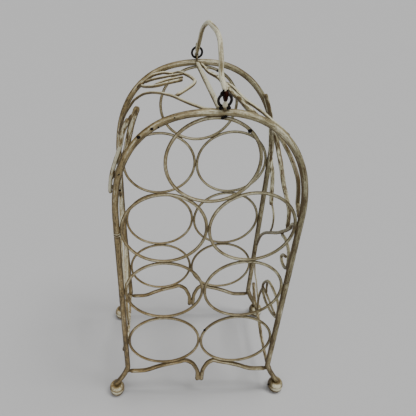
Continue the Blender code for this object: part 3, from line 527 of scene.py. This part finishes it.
def painted(name, bark=False, rusty_below=None):
    """Rubbed cream paint, with painted light on tops and outward sides and painted shade on
    undersides and edges. Bark adds deep brown grooves along the grain, and a handle's front
    end is rusty below a height."""
    made, shader, wire = new_finish(name, 0.5, 0.0)
    place = wire.add("ShaderNodeTexCoord", out="Object")
    normal = wire.add("ShaderNodeTexCoord", out="Normal")
    upward = wire.add("ShaderNodeSeparateXYZ", {0: normal}, out="Z")
    painted_light_way = wire.add("ShaderNodeAttribute", attribute_name="open_side", out="Vector")
    facing = wire.add("ShaderNodeVectorMath", {0: normal, 1: painted_light_way}, out="Value",
                      operation="DOT_PRODUCT")
    height = wire.add("ShaderNodeSeparateXYZ", {0: place}, out="Z")
    grain = wire.add("ShaderNodeAttribute", attribute_name="grain", out="Vector")
    age = wire.add("ShaderNodeAttribute", attribute_name="age", out="Fac")
    patches = noise(wire, place, PATCH_SCALE, 4.0)
    streaks = noise(wire, grain.times((1.0, 1.0, 0.3)), STREAK_SCALE, 6.0, 0.7)
    flecks = noise(wire, grain.times((1.6, 1.6, 0.9)), FLECK_SCALE, 2.0)
    specks = noise(wire, place, SPECK_SCALE, 2.0)
    chips = noise(wire, place, CHIP_SCALE, 3.0, 0.65)
    # Painted light and shade: tops and the sides that face along open_side are painted lighter,
    # undersides and the sides across it darker.
    painted_light_and_shade = (facing.math("ABSOLUTE", facing).between(0.35, 1.0) * FACING_LIGHT_SHARE
                     + upward.between(-0.35, 0.9) * TOP_LIGHT_SHARE)
    # The sum holds the wear, the painted light and shade, and a lightening towards the top.
    wear_and_painted_light = (painted_light_and_shade + (patches - 0.5) * PATCH_SHARE + (streaks - 0.5) * STREAK_SHARE
           + (specks - 0.5) * SPECK_SHARE - age + height.between(0.05, 0.47, -0.02, TOP_LIGHTENING)
           - flecks.between(0.60, 0.68) * FLECK_SHARE)
    for spot, reach in STAINS:
        away = wire.add("ShaderNodeVectorMath", {0: place, 1: spot}, out="Value",
                        operation="DISTANCE")
        wear_and_painted_light = wear_and_painted_light - away.between(0.2 * reach, reach, STAIN_DEPTH, 0.0)
    if bark:
        wear_and_painted_light = wear_and_painted_light + noise(wire, grain, GROOVE_SCALE, 4.0).between(0.40, 0.56, -0.75, 0.1)
    across = wire.add("ShaderNodeSeparateXYZ", {0: place}, out="X")
    warm = across.between(-0.11, 0.11, 0.8, 0.0) + height.between(0.0, 0.35, 0.45, 0.0)
    glaze = blend(wire, warm + (patches - 0.5) * 0.8, colour(KHAKI), colour(OCHRE))
    # These blends carry the painted light and shade as well as the wear: brown where the sum is
    # low, cream where it is high.
    dull = blend(wire, wear_and_painted_light.between(-0.02, 0.43), colour(BROWN), glaze)
    worn = blend(wire, wear_and_painted_light.between(0.44, 0.94), dull, colour(CREAM))
    bare = chips.between(0.66, 0.69) * patches.between(0.4, 0.6)
    metal = bare
    if rusty_below:
        low = (height + (specks - 0.5) * RUST_SPREAD).between(
            rusty_below, rusty_below + RUST_EDGE, 1.0, 0.0)
        near = wire.add("ShaderNodeSeparateXYZ", {0: place}, out="Y")
        rust = low * near.between(-0.02, 0.0, 1.0, 0.0)
        worn = blend(wire, rust, worn, colour(RUST))
        metal = bare.math("MAXIMUM", bare, rust)
    wire.tree.links.new(metal.socket, shader.inputs["Metallic"])
    wire.tree.links.new(blend(wire, bare, worn, colour(SOOT)).socket,
                        shader.inputs["Base Color"])
    rough = specks.between(0.3, 0.7, 0.42, 0.66) - bare * 0.1
    wire.tree.links.new(rough.socket, shader.inputs["Roughness"])
    relief = specks * 0.35 + streaks * 0.65 - bare * 0.5
    bump = wire.add("ShaderNodeBump", {"Height": relief, "Distance": PAINT_RELIEF,
                                       "Strength": 0.7})
    wire.tree.links.new(bump.socket, shader.inputs["Normal"])
    return made


# All three paints hold painted light and shade as well as the wear.
cream_paint = painted("worn_cream_painted_light")
bark_paint = painted("worn_bark_painted_light", bark=True)
handle_paint = painted("worn_handle_painted_light", rusty_below=RUSTY_BELOW)
print("The paints have", len(cream_paint.node_tree.nodes), "and",
      len(bark_paint.node_tree.nodes), "nodes")

# %% [markdown]
# ## Black wire and weld metal
#
# The links are bare blackened wire with a little rust. The welds are brown, rough beads that
# were never rubbed clean, so they take the worn paint at a high age, and a few are burnt black.
# Neither wire nor burnt metal has layers, so two dark colours mixed by noise are enough.

# %% The black wire
def bare_metal(name, dark, light, roughness, metallic, scale, gloss=0.5):
    made, shader, wire = new_finish(name, roughness, metallic)
    shader.inputs["Specular IOR Level"].default_value = gloss
    place = wire.add("ShaderNodeTexCoord", out="Object")
    cloud = noise(wire, place, scale, 4.0)
    grit = noise(wire, place, scale * 4, 2.0)
    mixed = blend(wire, cloud.between(0.42, 0.68), colour(dark), colour(light))
    wire.tree.links.new(mixed.socket, shader.inputs["Base Color"])
    wire.tree.links.new(cloud.between(0.3, 0.7, roughness - 0.1, roughness + 0.15).socket,
                        shader.inputs["Roughness"])
    bump = wire.add("ShaderNodeBump", {"Height": cloud * 0.5 + grit * 0.5,
                                       "Distance": METAL_RELIEF, "Strength": 0.7})
    wire.tree.links.new(bump.socket, shader.inputs["Normal"])
    return made


black_wire = bare_metal("wire_black", (0.009, 0.008, 0.008), (0.035, 0.022, 0.016), 0.42, 0.6,
                        320.0)
burnt_metal = bare_metal("burnt_weld", (0.004, 0.003, 0.003), (0.014, 0.009, 0.007), 0.6, 0.0,
                         400.0, gloss=0.1)
print("Black wire and weld metal are ready")

# %% [markdown]
# ## Arches and legs
#
# One bar makes each panel's outline: up one leg, over the arch and down the other leg. The
# arch is a superellipse, which is a little squarer than an ellipse. The hand-bent bar isn't
# even, so each quarter has its own fullness. The flat stretches of this bar hide its sections,
# so its line is worked out afresh here, with the sizes of the solid.

# %% Forge the two arches
HALF_SPACING = 0.0745
BAR_RADIUS = 0.00375
LEG_PLACE = 0.10405
SPRING = 0.3325
ARCHES = {"front": (0.1315, {1: (2.25, 0.0), -1: (2.55, 0.0)}),
          "back": (0.1333, {1: (2.17, 0.0005), -1: (2.45, 0.0040)})}
STRAIGHT = (0.0975, 0.1425, 0.1925, 0.2425, 0.2925)
BOW_START, BOW_LENGTH = 0.0725, 0.15
QUARTER_STEPS = 30
KNEE = 0.0625
LEG_TIP = 0.0173
FOOT_SPLAY = 0.0190
FLARE = ((1.00, 1.00), (0.94, 1.00), (0.87, 0.94), (0.71, 0.72), (0.38, 0.31), (0.11, 0.08),
         (0.00, 0.00))


def panel_line(panel):
    """Up the right leg, over the arch and down the left leg."""
    depth = HALF_SPACING if panel == "back" else -HALF_SPACING
    rise, quarters = ARCHES[panel]
    halves = []
    for out, (fullness, bow) in quarters.items():
        half = [(LEG_PLACE + FOOT_SPLAY * splay, KNEE + (LEG_TIP - KNEE) * fall)
                for fall, splay in FLARE]
        for height in STRAIGHT:
            bowed = min(1.0, (height - BOW_START) / BOW_LENGTH)
            half.append((LEG_PLACE + bow * bowed, height))
        for step in range(QUARTER_STEPS + 1):
            angle = step / QUARTER_STEPS * math.pi / 2
            reach = (LEG_PLACE + bow) * max(0.0, math.cos(angle)) ** (2 / fullness)
            half.append((reach, SPRING + rise * math.sin(angle) ** (2 / fullness)))
        halves.append([(out * across, depth, height) for across, height in half])
    places = halves[0] + halves[1][-2::-1]
    return np.array(places), np.full(len(places), BAR_RADIUS)


for seed, panel in enumerate(("front", "back")):
    forge(panel + "_frame", cream_paint, step=0.0015, sides=20, marks=0.0003, wear=0.1,
          age=0.36 - 0.03 * seed, seed=3.0 + seed, line=panel_line(panel))
print("Two arches are up")

# %% [markdown]
# ## Rings
#
# Fourteen wire rings carry seven bottles. Each is a closed hoop of thin wire. A torus could
# stand in for it, but the forging tree gives it the same uneven wire as its neighbours.

# %% Bend the rings
RING_WIRE_RADIUS = 0.0019
ring_names = sorted(node for node in frame["nodes"] if node.startswith("ring_"))
for seed, node in enumerate(ring_names):
    forge(node, cream_paint, closed=True, step=0.0015, sides=12, marks=0.00015, age=0.30,
          section_sides=6, hoop_radius=RING_WIRE_RADIUS, seed=10.0 + seed)
print(len(ring_names), "rings are in place")

# %% [markdown]
# ## Rails and the strands of the walls and the roof
#
# Rails, vines, twigs and leaves are welded to their neighbours at both ends. The solids stop a
# hair short of each other, so each end of a line is first bent over into the bar that it is
# nearest to. There are over sixty ends, so a rule finds the neighbour of each. Strands with bark
# have deep grooves and more sides, so that the grooves have points to move.

# %% Bend the strands' ends into their neighbours
FINE_STEP = 0.0015
NEIGHBOUR_GAP = 0.0012
ROOT_LENGTH = 0.010
ROOT_DEPTH = 0.0005
CLOSED_GAP = 0.02
CLOSED_COUNT = 20


def travelled(middles):
    """The way from the start of a line to each of its points."""
    return np.append(0.0, np.cumsum(np.linalg.norm(np.diff(middles, axis=0), axis=1)))


def resampled(node):
    """The bar's middle line, radius and direction at even steps, and round a hoop."""
    middles, radii = bars[node]
    ends_meet = np.linalg.norm(middles[0] - middles[-1]) < CLOSED_GAP
    if ends_meet and len(middles) > CLOSED_COUNT:
        middles, radii = np.vstack((middles, middles[:1])), np.append(radii, radii[0])
    length = travelled(middles)
    steps = np.arange(0.0, length[-1], FINE_STEP)
    places = np.column_stack([np.interp(steps, length, middles[:, axis]) for axis in range(3)])
    return places, np.interp(steps, length, radii), np.gradient(places, axis=0)


def rooted(node, neighbours):
    """The bar's line with both its ends bent into the bars that they are welded to."""
    middles, radii = bars[node]
    bent = middles.copy()
    places = np.vstack([lines[other][0] for other in neighbours])
    thicknesses = np.concatenate([lines[other][1] for other in neighbours])
    for end in (0, -1):
        away = places - middles[end]
        gaps = np.linalg.norm(away, axis=1) - thicknesses - radii[end]
        nearest = gaps.argmin()
        if gaps[nearest] < NEIGHBOUR_GAP:
            length = travelled(middles)
            share = np.clip(1 - abs(length - length[end]) / ROOT_LENGTH, 0.0, 1.0)
            pull = max(0.0, gaps[nearest] + ROOT_DEPTH) / np.linalg.norm(away[nearest])
            bent += share[:, None] * away[nearest] * pull
    return bent, radii


def may_join(node, other):
    """A strand joins every other bar, but the halves of a rail stay side by side."""
    return other != node and not (node.startswith("rail_") and other.startswith("rail_"))


LEAF_RIMS = ("right_leaf_rim", "left_leaf_rim")
LEAF_WIRE_RADIUS = 0.0020
strands = sorted(node for node in frame["nodes"] if node not in bars and not
                 node.startswith(("foot_", "link_", "staple_", "handle")))
for node in strands:
    bars[node] = middle_line(node,
                             hoop_radius=LEAF_WIRE_RADIUS if node in LEAF_RIMS else None)
lines = {node: resampled(node) for node in bars}
for node in strands:
    if node not in LEAF_RIMS:
        bars[node] = rooted(node, [other for other in lines if may_join(node, other)])
print(len(strands), "strands reach their neighbours")

# %% Forge the strands
BARKED = {"right_twig": 0.0008, "right_vine": 0.0005, "left_vine": 0.0004,
          "right_low_twig": 0.0008, "left_low_twig": 0.0008, "roof_bark_twig": 0.0009,
          "head_twig": 0.0004, "head_prong": 0.0003}
AGES = {"ridge_bar": -0.05, "roof": 0.2, "roof_wire": 0.2, "roof_leaf": 0.1, "rail": 0.32,
        "head": 0.0, "head_prong": -0.3, "left": -0.1, "left_tendril": -0.3, "left_leaf": -0.25,
        "right": 0.22, "right_twig": -0.15, "right_twig_wire": 0.22, "right_vine": 0.15,
        "right_leaf": 0.2, "right_shoulder_vine": 0.45}


def age_of(node):
    """The age that the longest fitting start of the node's name gives."""
    return AGES[max((start for start in AGES if node.startswith(start)), key=len)]


for seed, node in enumerate(strands, 50):
    age = age_of(node)
    if node in BARKED:
        forge(node, bark_paint, step=0.0008, sides=24, marks=0.0003, bark=BARKED[node],
              age=age, seed=seed, line=bars[node])
    else:
        forge(node, cream_paint, closed=node in LEAF_RIMS, step=0.001, marks=0.0003, age=age,
              seed=seed, line=bars[node])
print(len(strands), "strands are forged")

# %% [markdown]
# ## Handle, links and staples
#
# The handle's ends are curled into eyes, each of which goes round a black wire link. The links
# hang in small staples on the crowns. The handle's sections can't be told apart, so its line is
# worked out afresh with the sizes of the solid, as the arches' are. The other lines are read.

# %% Hang the handle
EYE_RADIUS = 0.0045
EYES = {"front": (0.0068, -0.0745, 0.48105), "back": (-0.0050, 0.0745, 0.48285)}
RISE = 0.0440
KINK = 0.0030
BOW = ((-0.87, 0.34, 0.9), (-0.79, 0.60, 0.8), (-0.63, 0.82, 0.4), (-0.49, 0.93, 0.1),
       (-0.27, 1.00, 0.0), (0.03, 1.00, 0.0), (0.24, 0.98, 0.0), (0.53, 0.79, 0.0),
       (0.69, 0.60, 0.0), (0.78, 0.41, 0.0))
EYE_THICKNESS, HANDLE_THICKNESS = 0.0038, 0.0050
EYE_TURNS = {"front": (400, 145), "back": (180, 450)}
EYE_POINTS = 13


def handle_line():
    """The front eye, the bow over the rack and the back eye."""
    def eye(panel):
        across, depth, height = EYES[panel]
        turns = np.radians(np.linspace(*EYE_TURNS[panel], EYE_POINTS))
        return [(across, depth + EYE_RADIUS * math.cos(turn), height + EYE_RADIUS * math.sin(turn))
                for turn in turns]

    front, back = np.array(EYES["front"]), np.array(EYES["back"])
    bow = []
    for across, height, kink in BOW:
        base = front + (back - front) * (across + 1) / 2
        bow.append((base[0] - kink * KINK, base[1], front[2] + height * RISE))
    places = eye("front") + bow + eye("back")
    swell = np.full(len(places), HANDLE_THICKNESS / 2)
    swell[:EYE_POINTS - 1] = swell[1 - EYE_POINTS:] = EYE_THICKNESS / 2
    return np.array(places), swell


LINK_RADIUS = 0.00125
LINK_SWELL = 1.12
forge("handle", handle_paint, step=0.0008, sides=16, marks=0.0002, wear=0.1, age=-0.2, seed=90.0,
      line=handle_line())
for seed, panel in enumerate(("front", "back")):
    middles, radii = middle_line("link_" + panel, 6, LINK_RADIUS)
    forge("link_" + panel, black_wire, closed=True, step=0.0006, sides=16, marks=0.0002,
          seed=91.0 + seed, line=(middles, LINK_SWELL * radii))
    forge("staple_" + panel, cream_paint, step=0.0005, sides=12, marks=0.0001, wear=0.0,
          section_sides=6, seed=93.0 + seed)

# %% [markdown]
# ## Ball feet
#
# Each foot was upset into a ball with a flat underside. A bead runs round its middle between
# two grooves, which are painted browner, and its top is rolled over into a rim round the shallow
# dimple that takes the leg. A Screw modifier could spin the outline, but mesh code can also give
# each of its points an age. The outline holds rows of distance from the axis, height and age.
# The bead's low age is a painted highlight, and the browner rows under it are painted shade.
# The ball isn't quite round and its rows tilt a little. It is painted lighter at the front right
# and darker at the back left, as painted light and shade.

# %% Turn the feet
# Third column: the bead's low ages paint a highlight, the higher ages under it paint shade under
# the ball, and the dimple and grooves are browner.
FOOT_OUTLINE = (
    (0.00, 0.000, 0.5), (0.50, 0.000, 0.5), (0.66, 0.035, 0.5), (0.80, 0.10, 0.5),
    (0.90, 0.20, 0.35), (0.95, 0.29, 0.25), (0.972, 0.35, 0.4), (0.966, 0.39, 0.8),
    (0.974, 0.43, 0.5), (0.99, 0.47, -0.3), (1.00, 0.53, -0.5), (0.99, 0.60, -0.4),
    (0.965, 0.66, -0.1), (0.940, 0.69, 0.4), (0.930, 0.71, 0.4), (0.915, 0.75, 0.0),
    (0.88, 0.82, -0.18), (0.83, 0.88, -0.15), (0.77, 0.94, -0.15), (0.71, 0.985, -0.1),
    (0.65, 1.000, -0.1), (0.59, 0.990, 0.0), (0.545, 0.972, 0.05), (0.51, 0.960, 0.2),
    (0.46, 0.952, 0.3), (0.30, 0.950, 0.4), (0.00, 0.950, 0.4))
FOOT_TURNS = 48
FOOT_WOBBLE, FOOT_TILT, TILT_TOP = 0.02, 0.22, 0.86
FOOT_AGE, FOOT_LIGHT_SWING, AGE_RIPPLE, FOOT_LIT_WAY = 0.16, 0.22, 0.12, 1.0
FOOT_GRAIN = (5, 14)


def turn_foot(node):
    """A ball foot in the place of a CAD foot."""
    low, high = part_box(node)
    centre = (low + high) / 2
    radius, tall = (high.x - low.x) / 2, high.z - low.z
    shape = bmesh.new()
    rows = []
    ages_and_painted_light, grains = [], []
    for out, height, age in FOOT_OUTLINE:
        turns = FOOT_TURNS if out > 0 else 1
        row = []
        for turn in range(turns):
            angle = 2 * math.pi * turn / turns
            # Painted light and shade: the ball is lighter at the front right and darker at the
            # back left.
            ages_and_painted_light.append(age + FOOT_AGE - FOOT_LIGHT_SWING * math.cos(angle + FOOT_LIT_WAY)
                        + AGE_RIPPLE * math.sin(2 * angle + centre.x * 90 + height * 4))
            grains.append((FOOT_GRAIN[0] * math.cos(angle), FOOT_GRAIN[0] * math.sin(angle),
                           FOOT_GRAIN[1] * height))
            dents = 1 + math.sin(3 * angle + centre.x * 70) * math.sin(height * 5)
            wobble = 1 - FOOT_WOBBLE * dents
            tilt = (FOOT_TILT * height * max(0.0, TILT_TOP - height)
                    * math.sin(angle + centre.x * 50))
            row.append(shape.verts.new((centre.x + out * radius * wobble * math.cos(angle),
                                        centre.y + out * radius * wobble * math.sin(angle),
                                        low.z + (height + tilt) * tall)))
        rows.append(row)
    for under, over in zip(rows, rows[1:]):
        for turn in range(FOOT_TURNS):
            here, there = turn % len(under), (turn + 1) % len(under)
            above, beside = turn % len(over), (turn + 1) % len(over)
            corners = dict.fromkeys((under[here], under[there], over[beside], over[above]))
            shape.faces.new(list(corners))
    bmesh.ops.recalc_face_normals(shape, faces=shape.faces)
    mesh = bpy.data.meshes.new("ball_" + node)
    shape.to_mesh(mesh)
    shape.free()
    mesh.shade_smooth()
    mesh.materials.append(cream_paint)
    aged = mesh.attributes.new("age", "FLOAT", "POINT")
    aged.data.foreach_set("value", ages_and_painted_light)
    open_sides = np.tile((0.0, 1.0, 0.0), (len(mesh.vertices), 1))
    for name, values in (("open_side", open_sides), ("grain", grains)):
        stored = mesh.attributes.new(name, "FLOAT_VECTOR", "POINT")
        stored.data.foreach_set("vector", np.array(values, dtype=np.float32).ravel())
    piece = bpy.data.objects.new("ball_" + node, mesh)
    bpy.context.scene.collection.objects.link(piece)
    return settle(piece, node)


feet = [turn_foot(node) for node in sorted(frame["nodes"]) if node.startswith("foot_")]
print(len(feet), "feet carry the rack")

# %% [markdown]
# ## Finding the welds
#
# The rack holds together by welds: wherever two of its bars pass within about a millimetre of
# each other, there is a bead. That makes over a hundred, too many to place by hand, so the
# script looks at every pair of middle lines for the places where the gap is smallest.

# %% Look for the places where bars touch
TOUCHING = 0.0009


def contacts(one, other):
    """Where two bars come nearest: the middle, the ways along and across, the thinner bar's
    radius and how level the bars run there, up to 1."""
    places, radii, ways = lines[one]
    others, other_radii, other_ways = lines[other]
    gaps = (np.linalg.norm(places[:, None] - others[None], axis=2) - radii[:, None]
            - other_radii[None])
    nearest = gaps.argmin(axis=1)
    narrow = gaps[np.arange(len(places)), nearest]
    found = []
    stretches = np.flatnonzero(np.diff(np.concatenate(([0], narrow < TOUCHING, [0]))))
    for start, end in stretches.reshape(-1, 2):
        here = start + narrow[start:end].argmin()
        there = nearest[here]
        across = others[there] - places[here]
        between = places[here] + across * (radii[here] + narrow[here] / 2) / np.linalg.norm(across)
        along = ways[here] / np.linalg.norm(ways[here])
        level = abs(along @ other_ways[there]) / np.linalg.norm(other_ways[there])
        found.append((between, along, across, min(radii[here], other_radii[there]), level))
    return found


welded = [node for node in bars if frame["nodes"][node]["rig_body"] == "rack"]
lines = {node: resampled(node) for node in welded}
joins = [join for place, one in enumerate(welded) for other in welded[:place]
         for join in contacts(one, other)]
print(len(joins), "places where bars are welded")

# %% [markdown]
# ## Weld beads
#
# A bead is a small lump, drawn out along the seam. One tree puts a ball on every point of a
# mesh, turned and stretched as the point says, and roughens the lot with a noise pattern. The
# instances are made real before the noise, so that no two beads are alike.

# %% The bead tree
LUMP_SCALE = 420.0

beading = bpy.data.node_groups.new("weld_beads", "GeometryNodeTree")
for name, kind in (("Points", "NodeSocketGeometry"), ("Roughness", "NodeSocketFloat"),
                   ("Age", "NodeSocketFloat"), ("Seed", "NodeSocketFloat"),
                   ("Finish", "NodeSocketMaterial")):
    beading.interface.new_socket(name, in_out="INPUT", socket_type=kind)
beading.interface.new_socket("Beads", in_out="OUTPUT", socket_type="NodeSocketGeometry")
given = beading.nodes.new("NodeGroupInput")
size = {socket.name: Wire(beading, socket) for socket in given.outputs if socket.name}
start = Wire(beading)
turned = start.add("GeometryNodeInputNamedAttribute", {"Name": "turned"},
                   data_type="FLOAT_VECTOR")
stretched = start.add("GeometryNodeInputNamedAttribute", {"Name": "stretched"},
                      data_type="FLOAT_VECTOR")
ball = start.add("GeometryNodeMeshIcoSphere", {"Radius": 1.0, "Subdivisions": 3})
beads = start.add("GeometryNodeInstanceOnPoints",
                  {"Points": size["Points"], "Instance": ball, "Rotation": turned,
                   "Scale": stretched})
beads = start.add("GeometryNodeRealizeInstances", {"Geometry": beads})
lumps = start.add("ShaderNodeTexNoise", {"Vector": start.add("GeometryNodeInputPosition"),
                                         "Scale": LUMP_SCALE, "Detail": 3.0, "W": size["Seed"]},
                  noise_dimensions="4D")
outwards = start.add("GeometryNodeInputNormal")
shift = start.add("ShaderNodeVectorMath",
                  {0: outwards, "Scale": (lumps - 0.5) * size["Roughness"]}, operation="SCALE")
beads = start.add("GeometryNodeSetPosition", {"Geometry": beads, "Offset": shift})
beads = start.add("GeometryNodeStoreNamedAttribute",
                  {"Geometry": beads, "Name": "age", "Value": size["Age"]})
beads = start.add("GeometryNodeSetMaterial", {"Geometry": beads, "Material": size["Finish"]})
beading.links.new(beads.socket, beading.nodes.new("NodeGroupOutput").inputs[0])
print("The bead tree has", len(beading.nodes), "nodes")

# %% Put beads on the welds
SEAM_AROUND, SEAM_THROUGH = 0.9, 0.95
SEAM_SHORT, SEAM_LONGER, SEAM_LEVEL = 1.2, 1.5, 8


def bead_points(beads):
    """Loose points, each with its turn and its stretch along, across and through."""
    mesh = bpy.data.meshes.new("points")
    mesh.from_pydata([tuple(place) for place, *_ in beads], [], [])
    turns, stretches = [], []
    for _, along, across, reach in beads:
        first = Vector(along).normalized()
        third = first.cross(Vector(across)).normalized()
        turns.append(Matrix((first, third.cross(first), third)).transposed().to_euler())
        stretches.append(reach)
    for name, values in (("turned", turns), ("stretched", stretches)):
        stored = mesh.attributes.new(name, "FLOAT_VECTOR", "POINT")
        stored.data.foreach_set("vector", np.array(values, dtype=np.float32).ravel())
    return mesh


def put_beads(name, beads, finish, body="rack", roughness=0.0006, age=0.5, seed=0.0):
    """One piece made of beads, riding on a body."""
    piece = grow(name, beading, bead_points(beads),
                 {"Roughness": roughness, "Age": age, "Seed": seed, "Finish": finish},
                 sharp=60.0)
    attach(piece, body)
    return piece


seams = []
for between, along, across, thin, level in joins:
    reach = thin * (SEAM_SHORT + SEAM_LONGER * level ** SEAM_LEVEL)
    seams.append((between, along, across, (reach, SEAM_AROUND * thin, SEAM_THROUGH * thin)))
put_beads("weld_seams", seams, cream_paint, age=0.95, seed=5.0)
print(len(seams), "seams are welded")

# %% [markdown]
# ## Burnt spots and painted lumps
#
# A few beads were left black: on the front, on both sides of the front staple and on the
# handle's front eye, where a short stub stands out. Each staple sits in a lump of weld that was
# painted over with the rest, and so do two joins of the roof's leaf. They follow no rule, so
# their places are given one by one.

# %% Add the burnt spots and the lumps
BEAD_WIDTH, BEAD_DEPTH = 1.1, 0.75
FRONT_FACE = -HALF_SPACING - BAR_RADIUS
BURNT = (((0.0054, FRONT_FACE + 0.0001, 0.4594), 0.0016),
         ((0.0080, FRONT_FACE + 0.0001, 0.4609), 0.0016),
         ((0.0333, -0.0764, 0.4447), 0.0020), ((-0.0750, FRONT_FACE, 0.4411), 0.0018),
         ((-0.0619, FRONT_FACE, 0.4497), 0.0014), ((-0.0555, FRONT_FACE, 0.4508), 0.0008),
         ((-0.0403, FRONT_FACE, 0.4608), 0.0007), ((-0.0964, FRONT_FACE, 0.3994), 0.0008),
         ((-0.0968, FRONT_FACE + 0.0012, 0.3791), 0.0012), ((0.0053, -0.0764, 0.1465), 0.0017),
         ((0.0213, HALF_SPACING - 0.0017, 0.4550), 0.0014), ((-0.1329, -0.0760, 0.0075), 0.0012),
         ((-0.1325, -0.0790, 0.0120), 0.0009), ((0.1122, -0.0765, 0.0125), 0.0016),
         ((0.1200, -0.0800, 0.0185), 0.0009))


def round_beads(spots):
    """Nearly round beads that lie flat against the front."""
    return [(place, (1.0, 0.0, 0.3), (0.0, 1.0, 0.0),
             (BEAD_WIDTH * reach, BEAD_DEPTH * reach, reach)) for place, reach in spots]


FINE_GRIT = 0.0003
put_beads("burnt_spots", round_beads(BURNT), burnt_metal, roughness=FINE_GRIT, seed=8.0)
BURR_OUT, BURR_IN, BURR_UP, BURR_REACH = (-0.0036, 0.0035), 0.0008, 0.0020, 0.0020
low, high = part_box("staple_front")
burrs = [(((low.x + high.x) / 2 + out, low.y + BURR_IN, low.z + BURR_UP), BURR_REACH)
         for out in BURR_OUT]
put_beads("staple_burrs", round_beads(burrs), burnt_metal, roughness=FINE_GRIT, seed=11.0)
EYE_BURRS = (((0.0040, -0.0780, 0.4866), 0.0009), ((0.0075, -0.0785, 0.4866), 0.0009))
STUB = ((0.0036, -0.0768, 0.4842), (-0.75, 0.0, -0.6), (0.0, 1.0, 0.0),
        (0.0029, 0.0013, 0.0014))
put_beads("eye_burrs", round_beads(EYE_BURRS) + [STUB], burnt_metal, "handle", FINE_GRIT,
          seed=12.0)

LUMP_OUT, LUMP_UP, LUMP_SIZE = 0.0030, 0.0050, (0.0036, 0.0012, 0.0025)
lumps = []
for panel, out in (("front", -1), ("back", 1)):
    low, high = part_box("staple_" + panel)
    place = ((low.x + high.x) / 2, (low.y + high.y) / 2 + out * LUMP_OUT, low.z + LUMP_UP)
    lumps.append((place, (0.0, 0.0, 1.0), (0.0, 1.0, 0.0), LUMP_SIZE))
put_beads("staple_lumps", lumps, cream_paint, age=-0.45, seed=9.0)
LEAF_LUMPS = ((-0.0334, 0.0700, 0.4537), (-0.0579, 0.0684, 0.4529))
LEAF_LUMP_SIZE = (0.0030, 0.0019, 0.0021)
put_beads("leaf_lumps", [(place, (0.8, 0.5, 0.0), (0.0, 0.0, 1.0), LEAF_LUMP_SIZE)
                         for place in LEAF_LUMPS], cream_paint, age=0.05, seed=13.0)
print(len(BURNT), "burnt spots and", len(lumps) + len(LEAF_LUMPS), "lumps are on")

# %% [markdown]
# ## Rail tips and leg bands
#
# The two halves of each rail end in one blunt tip: the gap between them was filled with two
# drops of weld metal. The front left leg was mended, and two thin bands of weld run round it.

# %% Fill the rail tips and band the leg
TIP_FILL = ((0.0088, (0.0075, 0.0036, 0.0031)), (0.0033, (0.0031, 0.0040, 0.0028)))
tips = []
for panel in ("front", "back"):
    low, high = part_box("rail_" + panel + "_left")
    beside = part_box("rail_" + panel + "_right")[0]
    for height, reach in TIP_FILL:
        place = ((high.x + beside.x) / 2, (low.y + high.y) / 2, low.z + height)
        tips.append((place, (0.0, 0.0, 1.0), (1.0, 0.0, 0.0), reach))
put_beads("rail_tips", tips, cream_paint, age=-0.1, seed=6.0)
BAND_HEIGHTS = (0.3193, 0.3160)
BAND_SIZE = (0.0008, 0.0042, 0.0042)
bands = [((-LEG_PLACE, -HALF_SPACING, height), (0.0, 0.0, 1.0), (1.0, 0.0, 0.0), BAND_SIZE)
         for height in BAND_HEIGHTS]
put_beads("leg_bands", bands, cream_paint, roughness=FINE_GRIT, age=-0.8, seed=7.0)
print(len(tips) // len(TIP_FILL), "tips are filled and", len(bands), "bands run round the leg")

# %% [markdown]
# ## The studio
#
# A plain pale floor runs on under and behind the rack, and the light is soft: one light
# overhead, one from the right, a wide one from the front, and an even grey sky all round. The
# lights are suns: they fall alike on the whole rack, and their spread softens its shadows.

# %% Floor, lights and sky
FLOOR_REACH, FLOOR_DROP, FLOOR_SHADE = 30, 0.0002, 0.505
SKY_SHADE, SKY_STRENGTH = 0.9, 0.26

floor_mesh = bpy.data.meshes.new("floor")
floor_mesh.from_pydata([(across * FLOOR_REACH, depth * FLOOR_REACH, -FLOOR_DROP)
                        for across, depth in ((-1, -1), (1, -1), (1, 1), (-1, 1))],
                       [], [(0, 1, 2, 3)])
floor = bpy.data.objects.new("floor", floor_mesh)
bpy.context.scene.collection.objects.link(floor)
floor_paint, floor_shader, _ = new_finish("floor_paint", 0.9, 0.0)
floor_shader.inputs["Base Color"].default_value = colour((FLOOR_SHADE,) * 3)
floor_mesh.materials.append(floor_paint)
floor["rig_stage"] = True


def sun(name, toward, spread, strength):
    """An even light from far off; spread is the width of its disc in the sky."""
    light = bpy.data.lights.new(name, "SUN")
    light.angle = math.radians(spread)
    light.energy = strength
    lamp = bpy.data.objects.new(name, light)
    lamp.rotation_euler = Vector(toward).to_track_quat("Z", "Y").to_euler()
    bpy.context.scene.collection.objects.link(lamp)


sun("overhead", (0.04, 0.03, 1.0), 9.0, 0.95)
sun("right", (0.45, -0.08, 1.0), 20.0, 1.65)
sun("front", (-0.2, -0.9, 0.9), 80.0, 0.9)
sky = bpy.data.worlds.new("sky")
sky.use_nodes = True
backdrop = sky.node_tree.nodes["Background"]
backdrop.inputs["Color"].default_value = colour((SKY_SHADE,) * 3)
backdrop.inputs["Strength"].default_value = SKY_STRENGTH
bpy.context.scene.world = sky
print("The studio is lit")

# %% [markdown]
# ## The size of the dressed rack
#
# The dressed rack has to stay inside the solids' box, so both boxes are written down.

# %% Write the two boxes
dressed_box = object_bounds()
for title, box in (("Solids:", cad_box), ("Dressed:", dressed_box)):
    print(title, [round(value, 4) for corner in box for value in corner])
